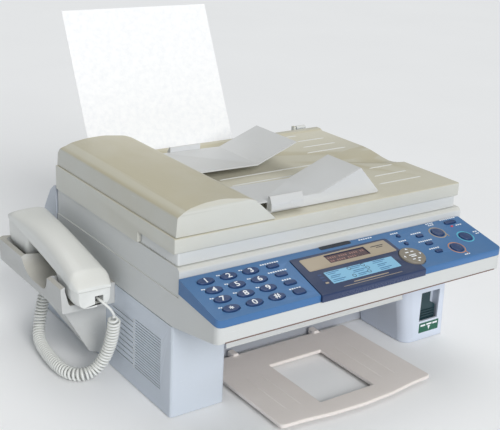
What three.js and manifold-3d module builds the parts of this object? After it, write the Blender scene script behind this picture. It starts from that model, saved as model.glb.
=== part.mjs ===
// Laser fax machine with a flatbed scanner, a sheet feeder and a side handset.
// Millimetres, +Z up, +X to the operator's right, +Y away from the operator.
// While it is being built, X = 0 is the left side, Y = 0 the front of the two towers and Z = 0 the
// table; at the end the whole group moves so that its origin is the middle of its base.

import * as THREE from "three";
import { mergeVertices } from "three/addons/utils/BufferGeometryUtils.js";
import Module from "manifold-3d";

const wasm = await Module();
wasm.setup();

// ---------------------------------------------------------------- driving dimensions
const GAP = 0.35; // running gap between neighbouring pieces
const WALL = 3; // moulded wall thickness

const BODY = { right: 407, rear: 279.6, seam: 110 }; // lower body: width, depth and top
const LEFT_TOWER = { right: 69 };
const RIGHT_TOWER = { right: 412, innerFoot: 344.8, innerHead: 327, corner: 13 };
const BAY = { top: 66.5, rear: 86 }; // open space between the towers, over the output tray

const PANEL = { left: -0.6, right: 401, front: -86, rear: -10, top: 152.6, tilt: 0.2165 };
const CASING = { underFront: 126.5, panelFront: 144.3, panelRear: 152.5, top: 178.6, rear: 279.6 };
const SCANNER = { left: 3, right: 402, front: -3, rear: 275.4, bottom: 179.1, top: 192.6 };
const LID = { left: -2, right: 404, front: -5, rear: 277.4, bottom: 193, top: 210, lip: 213 };
const HUMP = { right: 124, bottom: 210.6, front: -3.6, rear: 277.2 };
const FLANK_NOTCH = { front: 10, rear: 230 }; // the hump's right flank belongs to the lid here

const SHEET = { width: 215.9, length: 279.4, thick: 1.2, left: 55, lean: 0.4743 };
const SHEET_AT = { y: 297, z: 209 }; // a point of the leaning sheet's front face
const SHEET_FOOT = 128; // height of its lower edge

const UNIT_HINGE = { y: 283, z: 200 }; // the whole upper unit turns here
const LID_HINGE = { y: 281.5, z: 213.5 }; // the document lid turns here

const TRAY = { left: 86.8, right: 306.1, front: -85, bow: 9, rear: 72, bottom: 4.6, top: 9.4 };
const TRAY_WINDOW = { left: 154, right: 232, front: -67, rear: 30 };

const CRADLE = { left: -67, front: 127, rear: 306, bottom: 86.5, top: 119 };
const HANDSET = { x: -36, half: 25, front: 106, rear: 297.6 };

const KEY = { stand: 1.7, sink: 3.2, pocket: 5.2, play: 0.4 };
const COIL = { outer: 15.6, wire: 3.1 };

// ---------------------------------------------------------------- materials
const finish = (color, roughness = 0.55, metalness = 0) =>
  new THREE.MeshStandardMaterial({ color, roughness, metalness });

const WHITE = finish(0xdcdcd2);
const BEIGE = finish(0xbeb8a5, 0.6);
const BLUE_GREY = finish(0xa0a8af);
const PALE_BLUE = finish(0xbec6d0);
const TRAY_PINK = finish(0xd7cdc6, 0.6);
const PANEL_BLUE = finish(0x416ea5, 0.45);
const NAVY = finish(0x23325a, 0.35);
const KEY_BLUE = finish(0x2c4468, 0.5);
const DIAL_TAN = finish(0x9a937f, 0.5);
const TEAL = finish(0x0a464b, 0.4);
const DARK = finish(0x26282b, 0.6);
const PAPER = finish(0xf6f6f4, 0.85);
const GLASS = finish(0x9fb4b8, 0.08);
const LCD = finish(0x5f4a4c, 0.15);
const STEEL = finish(0xb8babc, 0.3, 0.9);
const RUBBER = finish(0x3a3b3d, 0.8);
const DRUM = finish(0x2f7f86, 0.15);
const GREEN_BOARD = finish(0x1f5c38, 0.5);

// ---------------------------------------------------------------- shape helpers
const FRAME_X = new THREE.Matrix4().makeBasis(
  new THREE.Vector3(0, 1, 0), new THREE.Vector3(0, 0, 1), new THREE.Vector3(1, 0, 0));
const FRAME_Y = new THREE.Matrix4().makeBasis(
  new THREE.Vector3(1, 0, 0), new THREE.Vector3(0, 0, 1), new THREE.Vector3(0, -1, 0));

/** A closed manifold solid from a three.js geometry, turned outward if it is inside out. */
function solid(geometry) {
  const bare = geometry.clone();
  bare.deleteAttribute("normal");
  bare.deleteAttribute("uv");
  const merged = mergeVertices(bare, 1e-4);
  const build = (triVerts) => new wasm.Manifold(new wasm.Mesh({
    numProp: 3,
    vertProperties: new Float32Array(merged.attributes.position.array),
    triVerts: new Uint32Array(triVerts),
  }));
  const index = Array.from(merged.index.array);
  const body = build(index);
  const outward = body.volume() > 0 ? body : build(index.reverse());
  if (outward.isEmpty()) throw new Error("a piece isn't a closed solid");
  return outward;
}

/** A three.js geometry from a manifold solid. */
function geometryOf(body) {
  const mesh = body.getMesh();
  const geometry = new THREE.BufferGeometry();
  geometry.setAttribute("position", new THREE.BufferAttribute(mesh.vertProperties, 3));
  geometry.setIndex(new THREE.BufferAttribute(mesh.triVerts, 1));
  return geometry;
}

const join = (...bodies) => bodies.reduce((whole, body) => whole.add(body));
const cut = (body, ...tools) => tools.reduce((whole, tool) => whole.subtract(tool), body);

/** A box given by its two limits along each axis. */
function box(x0, x1, y0, y1, z0, z1) {
  const geometry = new THREE.BoxGeometry(x1 - x0, y1 - y0, z1 - z0);
  return solid(geometry.translate((x0 + x1) / 2, (y0 + y1) / 2, (z0 + z1) / 2));
}

/** A closed outline through corners [a, b, radius]; each corner is rounded by its radius. */
function outline(corners) {
  const shape = new THREE.Shape();
  const count = corners.length;
  corners.forEach(([a, b, radius = 0], i) => {
    const corner = new THREE.Vector2(a, b);
    const before = new THREE.Vector2(...corners[(i + count - 1) % count]).sub(corner);
    const after = new THREE.Vector2(...corners[(i + 1) % count]).sub(corner);
    const start = corner.clone().add(before.setLength(radius));
    const end = corner.clone().add(after.setLength(radius));
    if (i === 0) shape.moveTo(start.x, start.y);
    else shape.lineTo(start.x, start.y);
    if (radius > 0) shape.quadraticCurveTo(a, b, end.x, end.y);
  });
  shape.closePath();
  return shape;
}

/** The solid that sweeps an outline of [a, b] corners through a depth, then maps it by a frame. */
function prism(corners, depth, frame, offset, steps) {
  const shape = corners instanceof THREE.Shape ? corners : outline(corners);
  const geometry = new THREE.ExtrudeGeometry(shape, { depth, bevelEnabled: false, curveSegments: steps });
  if (frame) geometry.applyMatrix4(frame);
  return solid(geometry.translate(...offset));
}

const prismX = (corners, x0, x1, steps = 4) => prism(corners, x1 - x0, FRAME_X, [x0, 0, 0], steps);
const prismY = (corners, y0, y1, steps = 4) => prism(corners, y1 - y0, FRAME_Y, [0, y1, 0], steps);
const prismZ = (corners, z0, z1, steps = 4) => prism(corners, z1 - z0, null, [0, 0, z0], steps);

/** A round bar along X or Y. */
function bar(axis, radius, from, to, across, z, sides = 20) {
  const geometry = new THREE.CylinderGeometry(radius, radius, to - from, sides);
  const middle = (from + to) / 2;
  if (axis === "x") geometry.rotateZ(Math.PI / 2).translate(middle, across, z);
  else geometry.translate(across, middle, z);
  return solid(geometry);
}

/** A closed skin over rings of points, with the same count in each; flat() projects a ring. */
function loft(rings, flat) {
  const count = rings[0].length;
  const positions = rings.flat().flatMap((p) => [p.x, p.y, p.z]);
  const index = [];
  for (let r = 0; r + 1 < rings.length; r += 1) {
    for (let i = 0; i < count; i += 1) {
      const a = r * count + i;
      const b = r * count + ((i + 1) % count);
      index.push(a, b, b + count, a, b + count, a + count);
    }
  }
  const cap = (ring, base, sense) => {
    const plan = ring.map(flat);
    for (const corners of THREE.ShapeUtils.triangulateShape(plan, [])) {
      const turn = THREE.ShapeUtils.area(corners.map((i) => plan[i])) * sense;
      index.push(...(turn > 0 ? corners : corners.toReversed()).map((i) => base + i));
    }
  };
  const sense = Math.sign(THREE.ShapeUtils.area(rings[0].map(flat)));
  cap(rings[0], 0, -sense);
  cap(rings.at(-1), (rings.length - 1) * count, sense);
  const geometry = new THREE.BufferGeometry();
  geometry.setAttribute("position", new THREE.Float32BufferAttribute(positions, 3));
  geometry.setIndex(index);
  return solid(geometry);
}

const flatXY = (p) => new THREE.Vector2(p.x, p.y);
const flatXZ = (p) => new THREE.Vector2(p.x, p.z);
const flatYZ = (p) => new THREE.Vector2(p.y, p.z);

const object = new THREE.Group();

/** Adds a finished solid to the object under its name. */
function add(name, body, material, holder = object) {
  const mesh = new THREE.Mesh(geometryOf(body), material);
  mesh.name = name;
  holder.add(mesh);
  return mesh;
}

// ---------------------------------------------------------------- lower body
const innerFace = (z) => THREE.MathUtils.mapLinear(
  z, 0, BODY.seam, RIGHT_TOWER.innerFoot, RIGHT_TOWER.innerHead);

/** Base plate, feet, cross beam over the bay, bay walls and the plates that carry the rollers. */
function baseFrame() {
  const plate = cut(
    box(4, BODY.right - 4, 4, 275, 1.8, 4.4),
    box(LEFT_TOWER.right - 4, RIGHT_TOWER.innerFoot + 4, 0, BAY.rear, 0, 8),
    box(LEFT_TOWER.right - 4, RIGHT_TOWER.innerFoot + 14, 0, 14, 0, 8));
  const feet = [[20, 22], [385, 22], [20, 258], [385, 258]].map(
    ([x, y]) => box(x - 12, x + 12, y - 9, y + 9, 0, 2));
  const left = LEFT_TOWER.right + GAP;
  const beam = prismY([
    [left, BAY.top], [innerFace(BAY.top) - GAP, BAY.top],
    [innerFace(108.6) - GAP, 108.6], [left, 108.6],
  ], 0.4, 10);
  const roof = prismY([
    [left, BAY.top], [innerFace(BAY.top) - GAP, BAY.top], [innerFace(70) - GAP, 70], [left, 70]], 2, 88);
  const back = box(62, 356, BAY.rear, BAY.rear + WALL, 1.8, 70);
  const sides = [74, 321].map((x) => box(x, x + WALL, 6, 262, 68, 108.6)
    .add(box(x, x + WALL, 88, 262, 2, 70)));
  const bores = [
    bar("x", 4.4, 60, 340, 34, 92), bar("x", 5.4, 60, 340, 120, 88), bar("x", 3.4, 60, 340, 236, 102),
  ];
  const ties = [box(74, 324, 200, 204, 2, 60), box(74, 324, 256, 262, 2, 96)];
  return cut(join(plate, ...feet, beam, roof, back, ...sides, ...ties), ...bores);
}
add("base_frame", baseFrame(), WHITE);

/** Left tower: a U of side, front and inner wall, louvred in two blocks on its outer side. */
function leftCover() {
  const wallTop = BODY.seam - 0.6;
  const shell = prismZ([
    [0, BODY.rear], [0, 0, 4], [LEFT_TOWER.right, 0, 4], [LEFT_TOWER.right, 84],
    [LEFT_TOWER.right - WALL, 84], [LEFT_TOWER.right - WALL, WALL], [WALL, WALL], [WALL, BODY.rear],
  ], 0.8, wallTop, 3);
  const slots = [];
  const fine = { from: 23, to: 79, foot: 25, pitch: 3.3, count: 19 };
  const wide = { from: 84, to: 134, foot: 27, pitch: 6.6, count: 9 };
  for (const block of [fine, wide]) {
    for (let i = 0; i < block.count; i += 1) {
      const z = block.foot + i * block.pitch;
      slots.push(box(-1, WALL + 1, block.from, block.to, z, z + 1.2));
    }
  }
  return cut(shell, ...slots);
}
add("left_cover", leftCover(), BLUE_GREY);

const WINDOW = { left: 366.6, right: 398.4, bottom: 27, top: 67 };

/** Right tower: its inner wall leans out over the bay; a window shows the release lever. */
function rightCover() {
  const flank = (z) => RIGHT_TOWER.right - (z * 4) / BODY.seam;
  const rounded = (x, y, radius) => [0, 0.25, 0.5, 0.75, 1].map((t) => {
    const angle = (Math.PI / 2) * t;
    return [x + radius * (1 - Math.cos(angle)), y + radius * (1 - Math.sin(angle))];
  });
  const lift = (plan, z) => plan.map(([x, y]) => new THREE.Vector3(x, y, z));
  const outer = (z) => lift([
    [innerFace(z), 84], ...rounded(innerFace(z), 0, RIGHT_TOWER.corner), [flank(z) - 3, 0], [flank(z), 3],
    [flank(z), BODY.rear], [flank(z) - WALL, BODY.rear], [flank(z) - WALL, 84],
  ], z);
  const hollow = (z) => lift([
    [innerFace(z) + WALL, 85], ...rounded(innerFace(z) + WALL, WALL, RIGHT_TOWER.corner - WALL),
    [flank(z) - WALL - 0.02, WALL], [flank(z) - WALL - 0.02, 85],
  ], z);
  const shell = cut(
    loft([outer(0.8), outer(BODY.seam - 0.6)], flatXY), loft([hollow(-1), hollow(BODY.seam + 1)], flatXY));
  const { left, right, bottom, top } = WINDOW;
  const pocket = box(left - 4, right + 4, 1, 15, 10, 74);
  const well = box(left - 1, right + 1, 2.6, 12, 13, 71);
  return cut(join(shell, pocket), well, box(left, right, -2, 5, bottom, top));
}
add("right_cover", rightCover(), PALE_BLUE);

/** Rear housing with its bulged back, hinge knuckles, sheet slot, power inlet and line sockets. */
function rearCover() {
  const skin = [
    [283.6, 181], [288, 181, 2], [299, 173, 6], [312, 154, 8], [324, 134, 8], [333, 112, 10],
    [335, 90], [335, 0.8], [280.2, 0.8],
  ];
  const body = prismX([...skin, [280.2, 108], [283.6, 112]], 0, BODY.right);
  const inside = prismX([
    [270, 186], [287, 178], [297, 170, 6], [309.4, 152, 8], [321.4, 132, 8], [330, 111, 10],
    [332, 90], [332, 3.8], [270, 3.8],
  ], WALL, BODY.right - WALL);
  const slot = box(SHEET.left - 9, SHEET.left + SHEET.width + 9, 270, 316, 150, 190);
  const inlet = box(352, 382, 330, 340, 24, 46);
  const sockets = [36, 56].map((x) => box(x, x + 12, 330, 340, 30, 41));
  const web = (x0, x1) => join(
    box(x0, x1, 281, 285.4, 176, UNIT_HINGE.z), bar("x", 3, x0, x1, UNIT_HINGE.y, UNIT_HINGE.z, 14));
  return cut(join(cut(body, inside), web(3.4, 15), web(392, 403.6)), slot, inlet, ...sockets);
}
add("rear_cover", rearCover(), BLUE_GREY);

/** Front paper tray: a lipped plate with a bowed front and a rectangular window. */
function outputTray() {
  const { left, right, front, rear, bow, bottom, top } = TRAY;
  const middle = (left + right) / 2;
  const edge = [-0.72, -0.4, 0, 0.4, 0.72].map((t) => [
    middle + (t * (right - left)) / 2, front - bow * (1 - t * t * 1.5), 0]);
  const plan = [[left, front, 5], ...edge, [right, front, 5], [right - 4.5, rear, 5], [left, rear, 5]];
  const plate = prismZ(plan, bottom, top);
  const { left: x0, right: x1, front: y0, rear: y1 } = TRAY_WINDOW;
  const hooks = [132, 256].map((x) => box(x - 4, x + 4, rear - 4, rear + 9, bottom, top + 3));
  return join(cut(plate, box(x0, x1, y0, y1, 0, 20)), ...hooks);
}
add("output_tray", outputTray(), TRAY_PINK);

/** Boot-shaped lever behind the window of the right tower, ribbed below for the finger. */
function releaseLever() {
  const { left, top } = WINDOW;
  const boot = prismY([
    [left, top + 3], [387.4, top + 3], [387.4, 50, 2], [397.6, 44, 3], [397.6, 23], [left, 23],
  ], 5, 9);
  const ribs = [0, 1, 2, 3].map((i) => box(368, 396, 3.6, 6, 27 + i * 3.6, 28.4 + i * 3.6));
  return join(boot, ...ribs);
}
add("release_lever", releaseLever(), TEAL);

// ---------------------------------------------------------------- paper path at the rear
const leanY = (z, forward = 0) => SHEET_AT.y + SHEET.lean * (z - SHEET_AT.z) - forward;
const LEAN = Math.atan(SHEET.lean);

/** A plate parallel to the leaning sheet, given its front offset behind the sheet. */
function leaningPlate(x0, x1, z0, z1, behind, thick) {
  const near = behind / Math.cos(LEAN);
  const far = (behind + thick) / Math.cos(LEAN);
  return prismX([
    [leanY(z0) + near, z0], [leanY(z1) + near, z1], [leanY(z1) + far, z1], [leanY(z0) + far, z0],
  ], x0, x1);
}

function paperInputTray() {
  const right = SHEET.left + SHEET.width;
  const back = leaningPlate(SHEET.left - 4, right + 4, 118, 176, SHEET.thick + 0.5, 2.4);
  const tongue = leaningPlate(SHEET.left + 62, right - 62, 170, 300, SHEET.thick + 0.5, 2.4);
  const fences = [[SHEET.left - 4, SHEET.left - 1], [right + 1, right + 4]].map(
    ([x0, x1]) => leaningPlate(x0, x1, 122, 205, -5, SHEET.thick + 8));
  const foot = box(SHEET.left - 4, right + 4, 264, 267.4, 98, 130);
  return join(back, tongue, ...fences, foot);
}
add("paper_input_tray", paperInputTray(), BLUE_GREY);
add("recording_paper", leaningPlate(
  SHEET.left, SHEET.left + SHEET.width, SHEET_FOOT, SHEET_FOOT + SHEET.length * Math.cos(LEAN),
  0, SHEET.thick), PAPER);

// ---------------------------------------------------------------- handset cradle
/** Tray on the left side for the handset, with a finger scoop and a bracket under it. */
function handsetCradle() {
  const { left, front, rear, bottom, top } = CRADLE;
  const right = -GAP;
  const block = prismY([
    [left + 1.5, bottom, 3], [right, bottom], [right, top - 7], [left + 5, top, 1], [left, top - 2],
  ], front, rear);
  const mouthWell = prismY([
    [left + 5, 130], [left + 5, 114], [left + 10, 95, 3], [-8, 95, 3], [-5, 114], [-5, 130],
  ], front - 8, 163);
  const earWell = prismZ([
    [left + 5, 238], [-5, 238], [-5, rear - 5, 12], [left + 5, rear - 5, 12],
  ], 95, 130);
  const scoop = prismX([
    [162, 124], [168, 98.5, 14], [230, 98.5, 26], [239, 124],
  ], left - 4, -5, 6);
  const saddle = box(left + 4, -4, 250, rear - 1, 90, 103);
  const switchWell = box(-42, -30, 270, 284, 95, 108);
  const bracket = loft([
    [[right, 86.6], [left + 8, 86.6], [-22, 20], [right, 12]].map(([x, z]) => new THREE.Vector3(x, 149, z)),
    [[right, 86.6], [left + 8, 86.6], [left + 9, 84], [right, 80]].map(([x, z]) => new THREE.Vector3(x, 218, z)),
  ], flatXZ);
  const jack = box(-43, -32, 228, 240, 80, 92);
  return cut(join(cut(block, mouthWell, earWell, scoop), saddle, bracket), switchWell, jack);
}
add("handset_cradle", handsetCradle(), BLUE_GREY);
add("hook_switch", box(-41, -31, 271, 283, 98.2, 106.8), DARK);

const smooth = (t) => t * t * (3 - 2 * t);
const ramp = (y, from, to) => smooth(THREE.MathUtils.clamp((y - from) / (to - from), 0, 1));

/** Heights and half width of the handset at a distance y from the front. */
function handsetSection(y) {
  const { front, rear, half } = HANDSET;
  const noseIn = Math.sqrt(THREE.MathUtils.clamp((y - front + 1.5) / 18, 0, 1));
  const tailIn = Math.sqrt(THREE.MathUtils.clamp((rear + 1 - y) / 16, 0, 1));
  const arch = 129 + 26 * Math.sin((Math.PI / 2) * THREE.MathUtils.clamp((y - front) / 146, 0, 1));
  const parting = 118 + 0.155 * (y - front);
  const crown = parting + (arch + 3 - parting) * Math.min(noseIn, 1) * Math.min(tailIn, 1) + 0.4;
  const waist = half - 3.5 * Math.sin(Math.PI * THREE.MathUtils.clamp((y - front) / (rear - front), 0, 1));
  const width = Math.min(waist, half * (0.72 + 0.28 * noseIn), half * (0.8 + 0.2 * tailIn));
  const mouth = 1 - ramp(y, 146, 164);
  const ear = ramp(y, 236, 252);
  const grip = parting - 6.5;
  const belly = grip + (97.5 - grip) * mouth + (107.2 - grip) * ear;
  return { parting, crown, width, belly };
}

const HANDSET_STATIONS = [
  106, 107.5, 110, 115, 123, 134, 146, 152, 158, 164, 180, 200, 220, 236, 241, 246, 252, 266, 280, 290, 295, 297.6];

/** One half of the handset: its rim lies on the parting line and it swells up or down from there. */
function handsetShell(upper) {
  const rings = HANDSET_STATIONS.map((y) => {
    const { parting, crown, width, belly } = handsetSection(y);
    const rim = parting + (upper ? 0.2 : -0.2);
    const reach = upper ? crown - rim : belly - rim;
    const flatness = upper ? 0.55 : 0.45;
    return Array.from({ length: 11 }, (_, i) => {
      const angle = (Math.PI * i) / 10;
      const side = Math.sign(Math.cos(angle)) * Math.abs(Math.cos(angle)) ** (upper ? 0.7 : 0.55);
      const x = HANDSET.x + width * side * (upper ? 1 : 0.94);
      return new THREE.Vector3(x, y, rim + reach * Math.sin(angle) ** flatness);
    });
  });
  return loft(rings, flatXZ);
}
const SOCKET = { x0: -35.6, x1: -25.4, z0: 100.5, z1: 110.5, depth: 9 };
add("handset_upper_shell", handsetShell(true), WHITE);
add("handset_lower_shell", cut(
  handsetShell(false),
  box(SOCKET.x0, SOCKET.x1, 100, HANDSET.front + SOCKET.depth, SOCKET.z0, SOCKET.z1),
  box(-33.2, -27.5, 100, 112.6, 90, SOCKET.z0 + 1)), WHITE);

// ---------------------------------------------------------------- curly cord
const CORD_LEAD = [[-30.5, 112, 105.5], [-30.2, 106, 105.4], [-27, 100.5, 102], [-21, 97.5, 95],
  [-16.9, 98, 88], [-16, 98.8, 81]];
const CORD_ROUTE = [
  [-16, 98.6, 85], [-15.2, 101, 74], [-15, 104, 62], [-15.6, 107.5, 50], [-17.4, 111, 38],
  [-21, 114.5, 26], [-27.5, 117, 16], [-36, 118.5, 10.4], [-46, 121, 9], [-54, 128, 8.8],
  [-58.5, 140, 8.8], [-60, 156, 8.8], [-59.5, 174, 8.8], [-58, 192, 9], [-56, 209, 10],
  [-53, 223, 13.5], [-49, 232, 21], [-45.5, 236, 32], [-42.5, 237, 45], [-40, 236, 58], [-38, 234.6, 70],
];
const CORD_TAIL = [[-38.2, 234.8, 68.6], [-37.8, 234.3, 73.4], [-37.5, 234, 78.4]];
const points = (list) => list.map((p) => new THREE.Vector3(...p));

/** A round tube along a smooth curve through hand-chosen points. */
function tube(list, diameter, sides, steps) {
  const path = new THREE.CatmullRomCurve3(points(list), false, "centripetal");
  const section = new THREE.Shape();
  for (let i = 0; i < sides; i += 1) {
    const angle = (2 * Math.PI * i) / sides;
    const [a, b] = [Math.cos(angle), Math.sin(angle)].map((v) => (v * diameter) / 2);
    if (i === 0) section.moveTo(a, b);
    else section.lineTo(a, b);
  }
  section.closePath();
  return solid(new THREE.ExtrudeGeometry(section, { steps, extrudePath: path, bevelEnabled: false }));
}
add("handset_cord", join(
  tube(CORD_LEAD, COIL.wire, 8, 8), tube(CORD_ROUTE, COIL.outer, 10, 36), tube(CORD_TAIL, COIL.wire, 8, 3)), WHITE);
add("handset_plug", box(-34, -27, 112.4, 114.8, 102, 109), DARK);
add("jack_plug", box(-42.2, -32.8, 229, 239, 78.8, 91.4), GLASS);

// ---------------------------------------------------------------- inside the lower body
function processCartridge() {
  const tank = prismX([
    [62, 112], [70, 106, 3], [146, 106], [190, 112, 4], [198, 124, 4], [198, 148, 8], [150, 160, 10],
    [84, 160, 10], [62, 148, 6],
  ], 84, 316);
  const grip = prismX([[104, 156], [104, 170, 3], [122, 170, 3], [122, 156]], 160, 240);
  const fingerGap = box(168, 232, 100, 126, 160, 167.4);
  return cut(join(tank, grip), fingerGap);
}
add("process_cartridge", processCartridge(), DARK);

const roller = (radius, axle, from, to, y, z, wide = 24) => join(
  bar("x", radius, from, to, y, z, wide), bar("x", axle, from - 12, to + 12, y, z, 14));
add("photosensitive_drum", roller(14.6, 5, 84, 314, 120, 88), DRUM);
add("heat_roller", roller(11, 4, 84, 314, 34, 92), STEEL);
add("pickup_roller", join(
  bar("x", 9, 140, 186, 236, 102, 20), bar("x", 3, 68, 330, 236, 102, 12)), RUBBER);

function mainBoard() {
  const plate = box(398, 399.6, 96, 262, 14, 96);
  const chips = [[120, 30, 26, 8], [170, 56, 34, 5], [220, 30, 24, 12], [140, 72, 40, 6]].map(
    ([y, z, size, tall]) => box(398 - tall, 398.5, y - size / 2, y + size / 2, z - 9, z + 9));
  return join(plate, ...chips);
}
add("main_board", mainBoard(), GREEN_BOARD);

function powerSupply() {
  const tray = cut(box(14, 60, 30, 232, 8, 62), box(16, 58, 32, 230, 9.6, 70));
  const core = join(box(24, 50, 60, 104, 9, 50), box(22, 52, 150, 172, 9, 56), box(26, 46, 190, 214, 9, 44));
  return join(tray, core);
}
add("power_supply", powerSupply(), STEEL);

// ---------------------------------------------------------------- upper casing and control panel
/** Shell of the upper unit: an overhanging nose for the panel and a deck for the scanner. */
function upperCasing() {
  const { underFront, panelFront, panelRear, top, rear } = CASING;
  const left = 0;
  const { right } = BODY;
  const under = BODY.seam + 0.4;
  const main = prismX([
    [rear, under], [0, under], [PANEL.rear, under + 2.4], [PANEL.rear, top - 3, 2], [-6, top], [rear, top],
  ], left, right);
  const nose = prismX([
    [2, under], [0, under], [PANEL.front, underFront, 2], [PANEL.front, panelFront],
    [PANEL.rear + 2, panelRear], [2, panelRear],
  ], left, PANEL.right).intersect(prismZ([
    [left, PANEL.front, 8], [PANEL.right, PANEL.front, 8], [PANEL.right, 10], [left, 10]], 90, 200));
  const roomMain = prismX([
    [rear - WALL, 90], [0, 90], [PANEL.rear + 2, under + 8], [PANEL.rear + WALL, top - 6], [rear - WALL, top - 6],
  ], left + WALL, right - WALL);
  const roomNose = prismX([
    [4, 90], [0, under - 0.5], [PANEL.front + 4, underFront + 3], [PANEL.front + 4, panelFront - 3],
    [4, panelRear - 3],
  ], left + WALL, PANEL.right - WALL);
  const sheetWay = box(SHEET.left - 9, SHEET.left + SHEET.width + 9, 236, rear + 1, 90, top + 1);
  const ledge = box(left - 1, left + 1.2, PANEL.rear - 1, rear + 1, 147, top + 1);
  return cut(join(main, nose), roomMain, roomNose, sheetWay, ledge);
}
add("upper_casing", upperCasing(), BLUE_GREY);

const panelGroup = new THREE.Group(); // its Z is the panel's outward normal, its Y runs up the slope
panelGroup.position.set(0, PANEL.front, PANEL.top);
panelGroup.rotation.set(PANEL.tilt, 0, 0);
object.add(panelGroup);
panelGroup.updateMatrix();
const slope = (y) => (y - PANEL.front) / Math.cos(PANEL.tilt);
const toPanel = panelGroup.matrix;

/** A pill or an ellipse: points round a key's outline, grown by an offset. */
function keyRing(key, grow, w) {
  const sides = key.long > 7 ? 16 : 12;
  const { long, short } = key;
  return Array.from({ length: sides }, (_, i) => {
    const angle = (2 * Math.PI * (i + 0.5)) / sides;
    const power = key.pill ? 0.62 : 1;
    const shape = (value) => Math.sign(value) * Math.abs(value) ** power;
    return new THREE.Vector3(
      key.x + (long + grow) * shape(Math.cos(angle)), slope(key.y) + (short + grow) * shape(Math.sin(angle)), w);
  });
}

const round = (x, y, radius) => ({ x, y, long: radius, short: radius });
const oval = (x, y, long, short, pill = false) => ({ x, y, long, short, pill });
const KEYS = {};
const KEY_NAMES = ["1", "2", "3", "4", "5", "6", "7", "8", "9", "star", "0", "hash"];
KEY_NAMES.forEach((name, i) => {
  const column = i % 3;
  const row = Math.floor(i / 3);
  KEYS[`key_${name}`] = oval(23.8 + 28 * column, -24.6 - 15.9 * row, 10.2, 5.4);
});
["redial_key", "mute_key", "flash_key", "monitor_key"].forEach((name, i) => {
  KEYS[name] = oval(108.2, -24.6 - 16 * i, i === 3 ? 7.4 : 7.6, i === 3 ? 4.8 : 3.6, true);
});
KEYS.help_key = round(290.6, -23.6, 2.7);
KEYS.menu_key = round(288.9, -39.6, 2.7);
["quick_scan_key", "resolution_key", "contrast_key"].forEach((name, i) => {
  KEYS[name] = oval(317.2, -31.9 - 16.4 * i, 5.2, 2.7, true);
});
KEYS.copy_key = round(345.5, -33.2, 8.2);
KEYS.start_key = round(374.6, -51.4, 8.2);
KEYS.stop_key = round(345, -66.4, 8.2);
KEYS.mode_key = oval(379, -20.4, 9.2, 3.3, true);
KEYS.navigator_key = round(276, -63.4, 16);

/** The area that the dark display panel covers, grown by an offset, as an outline in plan. */
const displayPlan = (d) => [
  [131.5 - d, -23 + d, 2], [271 + d, -23 + d, 4], [271 + d, -60], [274 + d, -72], [274 + d, -95 - d],
  [126 - d, -95 - d], [127 - d, -80],
];
const displayProfile = (d) => {
  const line = (y, drop) => PANEL.top + Math.tan(PANEL.tilt) * (y - PANEL.front) - drop;
  const face = PANEL.front - 3;
  return [
    [face, 145 - d], [face, line(face, -1.2), 1.5], [-23 + d, line(-23, -1.2)], [-23 + d, line(-23, 6 + d)],
    [-80 + d, line(-80, 6 + d)], [-80 + d, 145 - d],
  ];
};
const displaySolid = (d) => prismZ(displayPlan(d), 130, 190, 3).intersect(prismX(displayProfile(d), 110, 290));

const inPanel = (body) => body.transform(toPanel.elements);
const pocketOf = (key) => inPanel(loft([keyRing(key, KEY.play, -KEY.pocket), keyRing(key, KEY.play, 4)], flatXY));
const pockets = Object.values(KEYS).map(pocketOf);

const seat = (y) => THREE.MathUtils.mapLinear(
  y, PANEL.front, PANEL.rear + 2, CASING.panelFront, CASING.panelRear);

/** Blue wedge that carries the keys, with a pocket for each one. */
function controlPanel() {
  const { left, right, front, rear, top } = PANEL;
  const back = top + Math.tan(PANEL.tilt) * (rear - GAP - front);
  const wedge = prismX([
    [front, CASING.panelFront + GAP], [front, top, 1.2], [rear - GAP, back, 2.5],
    [rear - GAP, seat(rear - GAP) + GAP],
  ], left, right);
  const plan = prismZ([[left, front, 7], [right, front, 7], [right, rear, 3], [left, rear, 3]], 100, 200);
  return cut(wedge.intersect(plan), displaySolid(GAP), ...pockets);
}
add("control_panel", controlPanel(), PANEL_BLUE);

const LCD_WINDOW = { left: 173.5, right: 231, front: -43, rear: -29 };
const LCD_FIELD = inPanel(box(
  LCD_WINDOW.left, LCD_WINDOW.right, slope(LCD_WINDOW.front), slope(LCD_WINDOW.rear), -2, 6));
add("display_panel", cut(displaySolid(0), LCD_FIELD, ...pockets), NAVY);
add("lcd_window", box(
  LCD_WINDOW.left + GAP, LCD_WINDOW.right - GAP, slope(LCD_WINDOW.front) + GAP, slope(LCD_WINDOW.rear) - GAP,
  -1.6, 0.4), LCD, panelGroup);

for (const [name, key] of Object.entries(KEYS)) {
  const stand = name === "navigator_key" ? KEY.stand + 1.2 : KEY.stand;
  const body = loft([
    keyRing(key, 0, -KEY.sink), keyRing(key, 0, stand - 0.8), keyRing(key, -0.9, stand)], flatXY);
  add(name, body, name === "navigator_key" ? DIAL_TAN : KEY_BLUE, panelGroup);
}

// ---------------------------------------------------------------- scanner
const LID_POSTS = [[24, 40], [370, 386]];

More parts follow.
